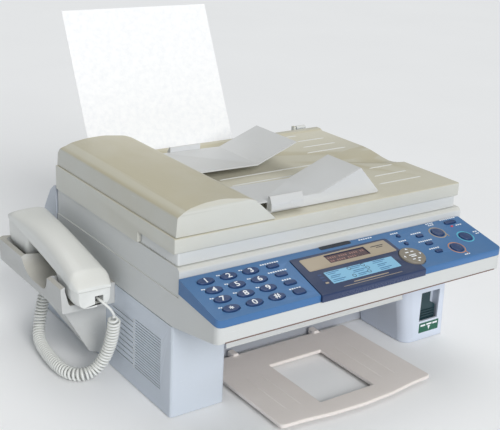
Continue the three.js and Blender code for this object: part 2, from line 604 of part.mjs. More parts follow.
function scannerBase() {
  const { left, right, front, rear, bottom, top } = SCANNER;
  const body = prismZ([[left, front, 3], [right, front, 3], [right, rear, 3], [left, rear, 3]], bottom, top, 2);
  const room = box(left + 7, right - 7, 10, rear - 10, bottom + 2, top + 1);
  const posts = LID_POSTS.map(([x0, x1]) => join(
    box(x0, x1, rear - 2, 283.6, 184, LID.bottom - 0.4),
    box(x0, x1, 279.4, 283.6, 184, LID_HINGE.z),
    bar("x", 2.8, x0, x1, LID_HINGE.y, LID_HINGE.z, 14)));
  const arms = [[16, 20], [387, 391]].map(([x0, x1]) => cut(
    join(box(x0, x1, rear - 2, UNIT_HINGE.y, 195.4 - 4, UNIT_HINGE.z - 7.6 + 0.2),
      box(x0, x1, 279.4, 286.6, 191.6, 204)), box(x0, x1, 276, 279.4, 193, 210)));
  return join(cut(body, room), ...posts, ...arms);
}
add("scanner_base", scannerBase(), BLUE_GREY);
add("platen_glass", box(
  SCANNER.left + 7.4, SCANNER.right - 7.4, 10.4, SCANNER.rear - 10.4, 189.8, 192.4), GLASS);
add("scan_carriage", cut(
  box(20, 62, 12, 263, 182, 189), box(37, 43, 24, 250, 186, 190)), DARK);

// ---------------------------------------------------------------- document lid
/** Lid slab with a scoop in its right edge, a left skirt that stops short of the front for a finger, and bearings. */
function documentLid() {
  const { left, right, front, rear, bottom, top, lip } = LID;
  const slab = prismX([
    [front, bottom, 2], [front, top, 1.5], [rear - 14, top], [rear - 10, lip - 0.6, 2], [rear, lip - 0.6, 1.5],
    [rear, bottom],
  ], left, right);
  const underHump = box(left - 1, HUMP.right + 0.6, front + 1.2, rear + 1, top, lip + 1);
  const well = box(left + 8, right - 8, 8, rear - 8, bottom - 1, bottom + 5.4);
  const dip = (scale, x) => [
    [92, 0.02], [103, 3.6], [112, 5.6], [121, 6.4], [134, 5.2], [147, 3], [160, 1], [176, 0.02],
  ].map(([y, depth]) => new THREE.Vector3(x, 140 + (y - 140) * scale, top - depth * scale * scale));
  const roof = (ring) => [
    ...ring, new THREE.Vector3(ring[0].x, ring.at(-1).y, top + 3), new THREE.Vector3(ring[0].x, ring[0].y, top + 3)];
  const scoop = loft([roof(dip(0.2, 322)), roof(dip(0.62, 350)), roof(dip(0.9, 380)), roof(dip(1, 410))], flatYZ);
  const bearings = [[82, 88], [182, 188]].map(([y0, y1]) => cut(
    box(68, 90, y0, y1, top - 1, 230), bar("y", 3.4, y0 - 1, y1 + 1, 79, 222.4, 14)));
  const entry = box(70, 88, 92, 178, top - 2.4, top + 1);
  const ramp = prismY([
    [100, top - 1], [HUMP.right, top - 1], [HUMP.right, HUMP.bottom + 1], [109.2, 224.8], [100, 224.8],
  ], FLANK_NOTCH.front + GAP, FLANK_NOTCH.rear - GAP);
  const flange = [[42, 46], [364, 368]].map(([x0, x1]) => join(
    box(x0, x1, rear - 1.5, 284, 205, 209.6), box(x0, x1, 278.8, 284, 205, 216)));
  const skirt = prismX([[72, 180, 2], [rear, 180, 2], [rear, bottom + 1], [72, bottom + 1]], left, left + 4.3);
  return join(cut(slab, underHump, well, scoop, entry), ramp, skirt, ...bearings, ...flange);
}
add("document_lid", documentLid(), BEIGE);
add("lid_backing", prismZ([
  [LID.left + 10, 10, 4], [LID.right - 10, 10, 4], [LID.right - 10, LID.rear - 10, 4], [LID.left + 10, LID.rear - 10, 4],
], LID.bottom + 0.9, LID.bottom + 5, 2), WHITE);

/** Hump over the feed rollers, open below; its right flank stands clear of the entry ramp. */
function adfCover() {
  const skin = (d) => [
    [d, HUMP.bottom - (d ? 1 : 0)], [1.6 + d, 232 - d, 2], [14, 238.6 - d, 4], [34, 242.2 - d, 6],
    [58, 243 - d, 6], [88, 239 - d, 4], [98 - d, 235 - d], [HUMP.right - d * 1.6, HUMP.bottom + 1 - (d ? 1 : 0)],
    ...(d ? [] : [[HUMP.right, HUMP.bottom]]),
  ];
  const outer = prismY(skin(0), HUMP.front, HUMP.rear, 3);
  const bevel = prismX([
    [HUMP.front, 180], [HUMP.front, 236.5, 3], [HUMP.front + 5, 250], [265, 250], [269, 236], [HUMP.rear, 226],
    [HUMP.rear, 180],
  ], -5, 140);
  const inner = prismY(skin(2.6), HUMP.front + 3, HUMP.rear - 10, 3);
  const entry = box(92, 130, FLANK_NOTCH.front, FLANK_NOTCH.rear, 200, 230.6);
  return cut(outer.intersect(bevel), inner, entry);
}
add("adf_cover", adfCover(), BEIGE);
add("adf_roller", join(bar("y", 8.4, 92, 178, 79, 222.4, 20), bar("y", 3, 79, 191, 79, 222.4, 12)), RUBBER);

/** A document guide: an upright fence and a bent plate that rises towards the operator's right. */
function documentGuide(front) {
  const foot = 211.2;
  const bend = [[114, 223.4], [198, 221.8], [256, 243.4]];
  const plate = prismY([
    ...bend, [255.4, 245], [197.8, 223.5], [114, 225.1],
  ], front ? 13.5 : 134, front ? 72 : 219.5);
  const fence = prismY([
    [125, foot], [284, foot], [286, foot + 1.4], [255.8, 244.8], [198, 223.4], [125, 225],
  ], front ? 12 : 218, front ? 14 : 220);
  const tab = prismX(front
    ? [[5.4, 215.6], [12.8, 215.6], [12.8, 231, 1], [9.4, 231, 1], [5.4, 223, 1]]
    : [[219.4, 215.6], [227, 215.6], [227, 223, 1], [222.4, 231, 1], [219.4, 231, 1]], 125.2, 169);
  const rail = front ? box(150, 176, 13, 40, foot - 0.5, 213.5) : box(150, 176, 192, 219, foot - 0.5, 213.5);
  return join(plate, fence, tab, rail);
}
add("document_guide_front", documentGuide(true), WHITE);
add("document_guide_rear", documentGuide(false), WHITE);

// ---------------------------------------------------------------- origin at the middle of the base
const CORD_PIECES = ["handset_cord", "jack_plug", "handset_plug"];
object.updateMatrixWorld(true);
const extent = new THREE.Box3();
for (const mesh of object.getObjectsByProperty("isMesh", true)) {
  if (!CORD_PIECES.includes(mesh.name)) extent.union(new THREE.Box3().setFromObject(mesh, true));
}
const middle = extent.getCenter(new THREE.Vector3());
object.position.set(-middle.x, -middle.y, -extent.min.z);
const assembly = new THREE.Group();
assembly.name = "fax_machine";
assembly.add(object);

export default assembly;
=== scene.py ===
"""A desktop laser fax machine with a side handset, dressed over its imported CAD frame.

Everything is in metres in the frame's own axes: +X to the operator's right, +Y away from the
operator, +Z up. Sizes are written in millimetres from the machine's own corner, which is its left
side, the front of its two towers and the table, and place() turns them into metres.
"""

from __future__ import annotations

import logging
import math
from dataclasses import dataclass, field
from enum import Enum
from typing import Callable, Iterable, Sequence

import bmesh
import bpy
import numpy as np
from mathutils import Matrix, Vector


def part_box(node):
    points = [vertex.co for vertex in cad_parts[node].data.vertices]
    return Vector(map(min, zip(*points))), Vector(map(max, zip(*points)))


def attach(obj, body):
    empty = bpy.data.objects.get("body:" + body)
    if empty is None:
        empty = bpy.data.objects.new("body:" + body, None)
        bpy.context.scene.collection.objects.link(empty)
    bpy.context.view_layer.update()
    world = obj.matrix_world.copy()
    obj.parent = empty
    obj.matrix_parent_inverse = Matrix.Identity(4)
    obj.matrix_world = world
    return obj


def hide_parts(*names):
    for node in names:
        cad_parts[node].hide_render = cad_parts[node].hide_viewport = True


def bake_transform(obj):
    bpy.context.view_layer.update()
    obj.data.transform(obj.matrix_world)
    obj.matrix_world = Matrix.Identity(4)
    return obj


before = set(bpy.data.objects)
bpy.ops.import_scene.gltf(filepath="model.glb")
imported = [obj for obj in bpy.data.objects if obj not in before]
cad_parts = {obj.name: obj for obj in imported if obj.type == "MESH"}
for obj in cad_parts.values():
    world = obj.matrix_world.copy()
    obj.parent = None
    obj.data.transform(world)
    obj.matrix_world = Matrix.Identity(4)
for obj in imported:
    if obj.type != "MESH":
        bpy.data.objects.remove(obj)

log = logging.getLogger("fax_machine")
MM = 0.001


def corners(node: str) -> tuple[np.ndarray, np.ndarray]:
    """The lowest and highest corners of a CAD node, in metres."""
    low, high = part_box(node)
    return np.array(low, float), np.array(high, float)


ORIGIN = np.array([corners("upper_casing")[0][0], corners("left_cover")[0][1], 0.0])


def place(points: np.ndarray | Sequence) -> np.ndarray:
    """Points in millimetres from the machine's own corner, as metres in the frame."""
    return np.asarray(points, float) * MM + ORIGIN


def machine_box(node: str) -> tuple[np.ndarray, np.ndarray]:
    """A CAD node's lowest and highest corners in millimetres from the machine's own corner."""
    low, high = corners(node)
    return (low - ORIGIN) / MM, (high - ORIGIN) / MM


# ------------------------------------------------------------------ surfaces
def grid_faces(rows: int, columns: int, ring: bool = False) -> np.ndarray:
    """Quads between neighbouring rows of a grid.

    Args:
        rows: how many rows of points the grid has.
        columns: how many points are in a row.
        ring: True if a row's last point joins its first.

    Returns:
        An array of faces, each with four point numbers, turning from column to row.
    """
    row = np.arange(rows - 1)[:, None]
    column = np.arange(columns if ring else columns - 1)[None, :]
    first = row * columns + column
    second = row * columns + (column + 1) % columns
    return np.stack([first, second, second + columns, first + columns], -1).reshape(-1, 4)


@dataclass
class Surface:
    """Points and faces that grow piece by piece and then become one mesh object."""

    points: list[np.ndarray] = field(default_factory=list)
    faces: list[list[int]] = field(default_factory=list)
    count: int = 0

    def add(self, points: np.ndarray, faces: Iterable) -> "Surface":
        """Adds points (n, 3) in metres with faces that number them from 0."""
        base = self.count
        self.points.append(np.asarray(points, float).reshape(-1, 3))
        self.faces.extend([[int(i) + base for i in face] for face in faces])
        self.count += len(self.points[-1])
        return self

    def loft(self, rings: np.ndarray, caps: bool = True, ends_meet: bool = False) -> "Surface":
        """Adds a skin over closed rings (r, n, 3), with a flat face over each end if it has caps.

        The skin is the bilinear surface between neighbouring rings.
        """
        rings = np.asarray(rings, float)
        if ends_meet:
            rings = np.concatenate([rings, rings[:1]])
        rows, columns = rings.shape[:2]
        faces = grid_faces(rows, columns, ring=True).tolist()
        if ends_meet:
            total = (rows - 1) * columns
            faces = (np.array(faces) % total).tolist()
            return self.add(rings[:-1], faces)
        if caps:
            faces.append(list(range(columns))[::-1])
            faces.append(list(range((rows - 1) * columns, rows * columns)))
        return self.add(rings, faces)

    def build(self, name: str, smooth: float = 35.0) -> bpy.types.Object:
        """Makes the mesh object, with its faces turned outwards.

        Args:
            name: the piece's name.
            smooth: edges sharper than this angle, in degrees, stay crisp.

        Returns:
            The new object, at the origin.
        """
        mesh = bpy.data.meshes.new(name)
        mesh.from_pydata(np.concatenate(self.points).tolist(), [], self.faces)
        return finish_mesh(mesh, name, smooth)


def finish_mesh(mesh: bpy.types.Mesh, name: str, smooth: float, outwards: bool = True) -> bpy.types.Object:
    """Turns a mesh's faces outwards, shades it smooth up to an angle and makes its object."""
    if outwards:
        work = bmesh.new()
        work.from_mesh(mesh)
        bmesh.ops.remove_doubles(work, verts=work.verts, dist=1e-7)
        bmesh.ops.recalc_face_normals(work, faces=work.faces)
        work.to_mesh(mesh)
        work.free()
    mesh.validate()
    mesh.shade_smooth()
    mesh.set_sharp_from_angle(angle=math.radians(smooth))
    mesh.update()
    thing = bpy.data.objects.new(name, mesh)
    bpy.context.scene.collection.objects.link(thing)
    return thing


def softened(node: str, width: float, segments: int = 3, angle: float = 32.0) -> bpy.types.Object:
    """A merged copy of a CAD node whose edges are rounded, which stands for that node.

    Args:
        node: the CAD node's name.
        width: the round's width in millimetres.
        segments: how many faces make the round.
        angle: edges sharper than this, in degrees, are rounded.

    Returns:
        The new object.
    """
    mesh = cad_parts[node].data.copy()
    work = bmesh.new()
    work.from_mesh(mesh)
    bmesh.ops.remove_doubles(work, verts=work.verts, dist=2e-6)
    bmesh.ops.dissolve_limit(work, angle_limit=math.radians(0.6), verts=work.verts, edges=work.edges)
    work.to_mesh(mesh)
    work.free()
    mesh.materials.clear()
    thing = finish_mesh(mesh, f"{node}_shape", 32.0, outwards=False)
    bevel = thing.modifiers.new("rounded_edges", "BEVEL")
    bevel.width = width * MM
    bevel.segments = segments
    bevel.limit_method = "ANGLE"
    bevel.angle_limit = math.radians(angle)
    bevel.harden_normals = True
    bevel.use_clamp_overlap = True
    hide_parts(node)
    return thing


def superellipse(centre: Sequence, half: Sequence, power: float = 2.0, count: int = 48) -> np.ndarray:
    """A closed outline |a/ha|^p + |b/hb|^p = 1 round a centre, as (count, 2) points."""
    angle = np.linspace(0, 2 * np.pi, count, endpoint=False)
    c, s = np.cos(angle), np.sin(angle)
    shape = np.stack([np.sign(c) * np.abs(c) ** (2 / power), np.sign(s) * np.abs(s) ** (2 / power)], -1)
    return np.asarray(centre, float) + shape * np.asarray(half, float)


def rounded_polygon(points: Sequence, radius: float, steps: int = 5) -> np.ndarray:
    """A polygon whose corners are cut by quadratic arcs that start a radius away from each corner."""
    knots = np.asarray(points, float)
    before, after = np.roll(knots, 1, 0) - knots, np.roll(knots, -1, 0) - knots
    start = knots + before / np.linalg.norm(before, axis=1)[:, None] * radius
    end = knots + after / np.linalg.norm(after, axis=1)[:, None] * radius
    t = np.linspace(0, 1, steps)[None, :, None]
    arc = (1 - t) ** 2 * start[:, None] + 2 * t * (1 - t) * knots[:, None] + t**2 * end[:, None]
    return arc.reshape(-1, 2)


Mapper = Callable[[np.ndarray], np.ndarray]


def slab(surface: Surface, outline: np.ndarray, low: float, high: float, to_space: Mapper,
         chamfer: float = 0.0) -> None:
    """Adds a flat plate over a closed outline, from one height to another, with a chamfered top.

    The chamfer scales the top ring towards the outline's middle, by chamfer millimetres.
    """
    middle = outline.mean(0)
    reach = np.abs(outline - middle).max(0)
    shrink = 1 - chamfer / np.maximum(reach, 1e-6)
    levels = [(low, 1.0), (high - chamfer, 1.0), (high, shrink)] if chamfer else [(low, 1.0), (high, 1.0)]
    rings = [np.column_stack([middle + (outline - middle) * scale, np.full(len(outline), height)])
             for height, scale in levels]
    surface.loft(np.stack([to_space(ring) for ring in rings]))


def swept(path: np.ndarray, section: np.ndarray, side: Sequence, up: Sequence) -> np.ndarray:
    """Rings of a section (n, 2) carried along a path (m, 3), on two fixed axes."""
    side, up = np.asarray(side, float), np.asarray(up, float)
    return path[:, None] + section[None, :, :1] * side + section[None, :, 1:] * up


# ------------------------------------------------------------------ materials
def linear(red: int, green: int, blue: int) -> tuple[float, float, float, float]:
    """A display colour of 0 to 255 levels as the linear colour that shaders take."""
    levels = np.array([red, green, blue]) / 255
    value = np.where(levels <= 0.04045, levels / 12.92, ((levels + 0.055) / 1.055) ** 2.4)
    return (*value.tolist(), 1.0)


class Graph:
    """A short way to write a node tree."""

    def __init__(self, tree: bpy.types.NodeTree) -> None:
        """Keeps the tree that the nodes go into."""
        self.tree = tree

    def node(self, kind: str, inputs: dict | None = None, **settings: object) -> bpy.types.Node:
        """Adds a node, sets its properties, and sets or links its inputs by name or number."""
        made = self.tree.nodes.new(kind)
        for key, value in settings.items():
            setattr(made, key, value)
        for key, value in (inputs or {}).items():
            self.feed(made.inputs[key], value)
        return made

    def feed(self, socket: bpy.types.NodeSocket, value: object) -> None:
        """Links a socket to another, or gives it a plain value."""
        if isinstance(value, bpy.types.NodeSocket):
            self.tree.links.new(value, socket)
        else:
            socket.default_value = value

    def math(self, operation: str, a: object, b: object = 0.0, clamp: bool = False) -> bpy.types.NodeSocket:
        """One operation on two numbers."""
        return self.node("ShaderNodeMath", {0: a, 1: b}, operation=operation, use_clamp=clamp).outputs[0]

    def blend(self, amount: object, a: object, b: object, how: str = "MIX") -> bpy.types.NodeSocket:
        """A mix of two colours."""
        made = self.node("ShaderNodeMix", data_type="RGBA", blend_type=how)
        for index, value in ((0, amount), (6, a), (7, b)):
            self.feed(made.inputs[index], value)
        return made.outputs[2]

    def noise(self, where: object, scale: float, detail: float = 3.0,
              rough: float = 0.5) -> bpy.types.NodeSocket:
        """Fractal noise at a number of cells per metre."""
        return self.node("ShaderNodeTexNoise", {
            "Vector": where, "Scale": scale, "Detail": detail, "Roughness": rough}).outputs["Fac"]

    def between(self, value: object, low: float, high: float) -> bpy.types.NodeSocket:
        """A number that rises from 0 at low to 1 at high."""
        return self.node("ShaderNodeMapRange", {
            "Value": value, "From Min": low, "From Max": high}, interpolation_type="SMOOTHSTEP").outputs[0]

    def here(self) -> bpy.types.NodeSocket:
        """Positions on the piece, in metres."""
        return self.node("ShaderNodeTexCoord").outputs["Object"]


def node_group(name: str, inputs: Sequence,
               outputs: Sequence) -> tuple[bpy.types.NodeTree, Graph, dict, bpy.types.Node]:
    """Starts a shader node group.

    Args:
        name: the group's name.
        inputs: (name, socket type, default) of each input.
        outputs: (name, socket type) of each output.

    Returns:
        The tree, its graph, its input sockets by name and its output node.
    """
    tree = bpy.data.node_groups.new(name, "ShaderNodeTree")
    for label, kind, default in inputs:
        socket = tree.interface.new_socket(label, in_out="INPUT", socket_type=kind)
        if default is not None:
            socket.default_value = default
    for label, kind in outputs:
        tree.interface.new_socket(label, in_out="OUTPUT", socket_type=kind)
    graph = Graph(tree)
    entry, leave = graph.node("NodeGroupInput"), graph.node("NodeGroupOutput")
    return tree, graph, {s.name: s for s in entry.outputs if s.name}, leave


FLOAT, COLOR, VECTOR = "NodeSocketFloat", "NodeSocketColor", "NodeSocketVector"


class SharedEffects:
    """The node groups that several finishes use, each built once."""

    def __init__(self) -> None:
        """Builds every group."""
        self.grain = self._grain()
        self.age = self._age()
        self.dust = self._dust()
        self.scuffs = self._scuffs()

    @staticmethod
    def _grain() -> bpy.types.NodeTree:
        """Spark-eroded mould grain: fine pits over a soft, larger waviness."""
        tree, g, put, out = node_group(
            "mould_grain", [("Position", VECTOR, None), ("Pits per metre", FLOAT, 1400.0)],
            [("Height", FLOAT), ("Gloss", FLOAT)])
        pits = g.node("ShaderNodeTexVoronoi", {"Vector": put["Position"], "Scale": put["Pits per metre"]},
                      feature="SMOOTH_F1").outputs["Distance"]
        fine = g.node("ShaderNodeTexNoise", {
            "Vector": put["Position"],
            "Scale": g.math("MULTIPLY", put["Pits per metre"], 0.6), "Detail": 3.0})
        wave = g.noise(put["Position"], 14.0, 2.0)
        height = g.math("ADD", g.math("MULTIPLY", pits, 0.6), g.math("MULTIPLY", fine.outputs["Fac"], 0.5))
        g.feed(out.inputs["Height"], height)
        g.feed(out.inputs["Gloss"], g.math("SUBTRACT", g.math("MULTIPLY", fine.outputs["Fac"], 0.1),
                                            g.math("MULTIPLY", wave, 0.08)))
        return tree

    @staticmethod
    def _age() -> bpy.types.NodeTree:
        """Yellowing, strongest on faces that look up, and handling tone in three sizes of blotch."""
        tree, g, put, out = node_group(
            "sunned_plastic", [("Position", VECTOR, None), ("Fresh", COLOR, (1, 1, 1, 1)),
                               ("Sunned", COLOR, (1, 1, 0.8, 1)), ("Amount", FLOAT, 0.5)], [("Color", COLOR)])
        broad = g.between(g.noise(put["Position"], 5.0, 3.0), 0.3, 0.72)
        patch = g.between(g.noise(put["Position"], 38.0, 4.0, 0.6), 0.35, 0.8)
        fleck = g.between(g.noise(put["Position"], 700.0, 2.0), 0.62, 0.8)
        up = g.node("ShaderNodeSeparateXYZ",
                    {0: g.node("ShaderNodeNewGeometry").outputs["Normal"]}).outputs["Z"]
        blotch = g.math("ADD", g.math("MULTIPLY", broad, 0.35), g.math("MULTIPLY", patch, 0.15))
        share = g.math("ADD", g.math("MULTIPLY", g.between(up, 0.1, 0.8), 1.1), blotch)
        tone = g.blend(g.math("MULTIPLY", share, put["Amount"], clamp=True), put["Fresh"], put["Sunned"])
        flecked = g.blend(g.math("MULTIPLY", fleck, 0.05), tone, (0.05, 0.045, 0.04, 1))
        g.feed(out.inputs["Color"], flecked)
        return tree

    @staticmethod
    def _dust() -> bpy.types.NodeTree:
        """Dust that has settled on faces that look up, thicker in soft patches."""
        tree, g, put, out = node_group("settled_dust", [("Position", VECTOR, None), ("Amount", FLOAT, 0.2)],
                                       [("Mask", FLOAT)])
        normal = g.node("ShaderNodeNewGeometry").outputs["Normal"]
        up = g.node("ShaderNodeSeparateXYZ", {0: normal}).outputs["Z"]
        patch = g.between(g.noise(put["Position"], 22.0, 5.0, 0.65), 0.35, 0.75)
        speck = g.between(g.noise(put["Position"], 1500.0, 1.0), 0.6, 0.75)
        lying = g.math("MULTIPLY", g.between(up, 0.3, 0.95),
                       g.math("ADD", patch, g.math("MULTIPLY", speck, 0.6)))
        g.feed(out.inputs["Mask"], g.math("MULTIPLY", lying, put["Amount"], clamp=True))
        return tree

    @staticmethod
    def _scuffs() -> bpy.types.NodeTree:
        """Short fine scratches in two directions, where the surface is handled."""
        tree, g, put, out = node_group("fine_scuffs", [("Position", VECTOR, None), ("Amount", FLOAT, 0.3)],
                                       [("Mask", FLOAT)])
        lines = []
        for turn, stretch in ((0.5, (900.0, 40.0, 300.0)), (-0.9, (60.0, 1100.0, 400.0))):
            turned = g.node("ShaderNodeMapping", {"Vector": put["Position"], "Rotation": (0.2, 0.1, turn),
                                                  "Scale": stretch}).outputs[0]
            lines.append(g.between(g.noise(turned, 1.0, 2.0), 0.66, 0.74))
        where = g.between(g.noise(put["Position"], 30.0, 3.0), 0.45, 0.7)
        both = g.math("MAXIMUM", *lines)
        g.feed(out.inputs["Mask"],
               g.math("MULTIPLY", g.math("MULTIPLY", both, where), put["Amount"], clamp=True))
        return tree


EFFECTS = SharedEffects()


def shader(name: str) -> tuple[bpy.types.Material, Graph, bpy.types.Node]:
    """A new material with its graph and its Principled shader."""
    material = bpy.data.materials.new(f"finish_{name}")
    material.use_nodes = True
    material.node_tree.nodes.clear()
    graph = Graph(material.node_tree)
    surface = graph.node("ShaderNodeBsdfPrincipled")
    graph.node("ShaderNodeOutputMaterial", {"Surface": surface.outputs[0]})
    return material, graph, surface


def use(graph: Graph, tree: bpy.types.NodeTree, **inputs: object) -> bpy.types.Node:
    """Places a node group in a material."""
    made = graph.node("ShaderNodeGroup")
    made.node_tree = tree
    for key, value in inputs.items():
        graph.feed(made.inputs[key.replace("_", " ")], value)
    return made


@dataclass(frozen=True)
class Moulding:
    """Moulded plastic: grain, uneven sunning, dust, scuffs, rubbed edges and painted shade in hollows."""

    name: str
    fresh: tuple[float, float, float, float]
    sunned: tuple[float, float, float, float]
    sunning: float = 0.5
    roughness: float = 0.5
    grain: float = 1.0
    dust: float = 0.15
    scuffs: float = 0.25
    rubbed: float = 0.25
    coat: float = 0.0
    specular: float = 0.5

    def make(self) -> bpy.types.Material:
        """Builds the material."""
        material, g, skin = shader(self.name)
        here = g.here()
        tone = use(g, EFFECTS.age, Position=here, Fresh=self.fresh, Sunned=self.sunned, Amount=self.sunning)
        grain = use(g, EFFECTS.grain, Position=here, Pits_per_metre=1500.0)
        dust = use(g, EFFECTS.dust, Position=here, Amount=self.dust)
        scuffs = use(g, EFFECTS.scuffs, Position=here, Amount=self.scuffs)
        pointed = g.node("ShaderNodeNewGeometry").outputs["Pointiness"]
        edge = g.math("MULTIPLY", g.between(pointed, 0.52, 0.6), self.rubbed)
        # painted shade: hollows, where pointiness is low, are darkened towards a deep tone of the sunned
        # colour
        painted_hollow_shade = g.math("MULTIPLY", g.between(pointed, 0.48, 0.42), 0.5)
        pale = tuple(min(1.0, c * 1.25 + 0.04) for c in self.fresh[:3]) + (1.0,)
        # the deep tone of the painted shade in hollows
        dark = tuple(c * 0.45 for c in self.sunned[:3]) + (1.0,)
        color = g.blend(edge, tone.outputs[0], pale)
        color = g.blend(painted_hollow_shade, color, dark)
        color = g.blend(scuffs.outputs[0], color, pale)
        color = g.blend(dust.outputs[0], color, linear(196, 190, 176))
        g.feed(skin.inputs["Base Color"], color)
        rough = g.math("ADD", g.math("ADD", grain.outputs["Gloss"], self.roughness),
                       g.math("MULTIPLY", dust.outputs[0], 0.5), clamp=True)
        g.feed(skin.inputs["Roughness"], g.math("ADD", rough, g.math("MULTIPLY", edge, -0.12), clamp=True))
        bump = g.node("ShaderNodeBump", {"Height": grain.outputs["Height"], "Strength": 0.22 * self.grain,
                                         "Distance": 0.0002})
        g.feed(skin.inputs["Normal"], bump.outputs[0])
        skin.inputs["Coat Weight"].default_value = self.coat
        skin.inputs["Specular IOR Level"].default_value = self.specular
        return material


@dataclass(frozen=True)
class Print:
    """A screened or moulded-in colour, such as a key's numeral, with slightly broken ink."""

    name: str
    color: tuple[float, float, float, float]
    roughness: float = 0.45
    glow: float = 0.0

    def make(self) -> bpy.types.Material:
        """Builds the material."""
        material, g, skin = shader(self.name)
        here = g.here()
        thin = g.between(g.noise(here, 2200.0, 3.0), 0.3, 0.75)
        duller = tuple(c * 0.82 for c in self.color[:3]) + (1.0,)
        color = g.blend(g.math("MULTIPLY", thin, 0.6), self.color, duller)
        g.feed(skin.inputs["Base Color"], color)
        g.feed(skin.inputs["Roughness"], g.math("ADD", g.math("MULTIPLY", thin, 0.15), self.roughness))
        if self.glow:
            g.feed(skin.inputs["Emission Color"], color)
            skin.inputs["Emission Strength"].default_value = self.glow
        return material


@dataclass(frozen=True)
class Metal:
    """Turned or drawn metal: lines along one axis, smears and a little tarnish."""

    name: str
    color: tuple[float, float, float, float]
    roughness: float = 0.3
    stretch: tuple[float, float, float] = (4.0, 900.0, 900.0)

    def make(self) -> bpy.types.Material:
        """Builds the material."""
        material, g, skin = shader(self.name)
        here = g.here()
        drawn = g.node("ShaderNodeMapping", {"Vector": here, "Scale": self.stretch}).outputs[0]
        line = g.noise(drawn, 1.0, 3.0)
        smear = g.between(g.noise(here, 60.0, 4.0), 0.4, 0.7)
        tarnish = tuple(c * 0.6 for c in self.color[:3]) + (1.0,)
        g.feed(skin.inputs["Base Color"], g.blend(g.math("MULTIPLY", smear, 0.4), self.color, tarnish))
        skin.inputs["Metallic"].default_value = 1.0
        g.feed(skin.inputs["Roughness"], g.math("ADD", g.math("MULTIPLY", line, 0.25), self.roughness))
        bump = g.node("ShaderNodeBump", {"Height": line, "Strength": 0.15, "Distance": 0.0001})
        g.feed(skin.inputs["Normal"], bump.outputs[0])
        return material


@dataclass(frozen=True)
class Clear:
    """Glass or clear plastic with finger marks."""

    name: str
    tint: tuple[float, float, float, float]
    roughness: float = 0.04
    through: float = 0.9

    def make(self) -> bpy.types.Material:
        """Builds the material."""
        material, g, skin = shader(self.name)
        here = g.here()
        marks = g.between(g.noise(here, 45.0, 5.0, 0.65), 0.5, 0.75)
        g.feed(skin.inputs["Base Color"], g.blend(
            g.math("MULTIPLY", marks, 0.25), self.tint, linear(214, 216, 212)))
        g.feed(skin.inputs["Roughness"], g.math("ADD", g.math("MULTIPLY", marks, 0.14), self.roughness))
        skin.inputs["Transmission Weight"].default_value = self.through
        skin.inputs["IOR"].default_value = 1.5
        return material


@dataclass(frozen=True)
class PaperSheet:
    """Uncoated paper: fibre cloud and a very fine tooth."""

    name: str

    def make(self) -> bpy.types.Material:
        """Builds the material."""
        material, g, skin = shader(self.name)
        here = g.here()
        cloud = g.between(g.noise(here, 160.0, 5.0, 0.7), 0.3, 0.8)
        g.feed(skin.inputs["Base Color"], g.blend(cloud, linear(250, 250, 250), linear(240, 241, 243)))
        g.feed(skin.inputs["Roughness"], g.math("ADD", g.math("MULTIPLY", cloud, 0.08), 0.82))
        tooth = g.noise(here, 3200.0, 4.0, 0.7)
        bump = g.node("ShaderNodeBump", {"Height": tooth, "Strength": 0.12, "Distance": 0.0001})
        g.feed(skin.inputs["Normal"], bump.outputs[0])
        skin.inputs["Specular IOR Level"].default_value = 0.2
        return material


@dataclass(frozen=True)
class Board:
    """Circuit board lacquer with copper tracks under it."""

    name: str

    def make(self) -> bpy.types.Material:
        """Builds the material."""
        material, g, skin = shader(self.name)
        here = g.here()
        cells = g.node("ShaderNodeTexBrick", {
            "Vector": g.node("ShaderNodeMapping",
                             {"Vector": here, "Rotation": (0, math.pi / 2, 0)}).outputs[0],
            "Color1": linear(22, 88, 52), "Color2": linear(28, 104, 62), "Mortar": linear(66, 140, 78),
            "Scale": 260.0, "Mortar Size": 0.03})
        g.feed(skin.inputs["Base Color"], cells.outputs["Color"])
        g.feed(skin.inputs["Roughness"], g.math("ADD", g.math("MULTIPLY", g.noise(here, 90.0), 0.2), 0.25))
        bump = g.node("ShaderNodeBump", {"Height": cells.outputs["Fac"], "Strength": 0.3, "Distance": 0.0001})
        g.feed(skin.inputs["Normal"], bump.outputs[0])
        return material


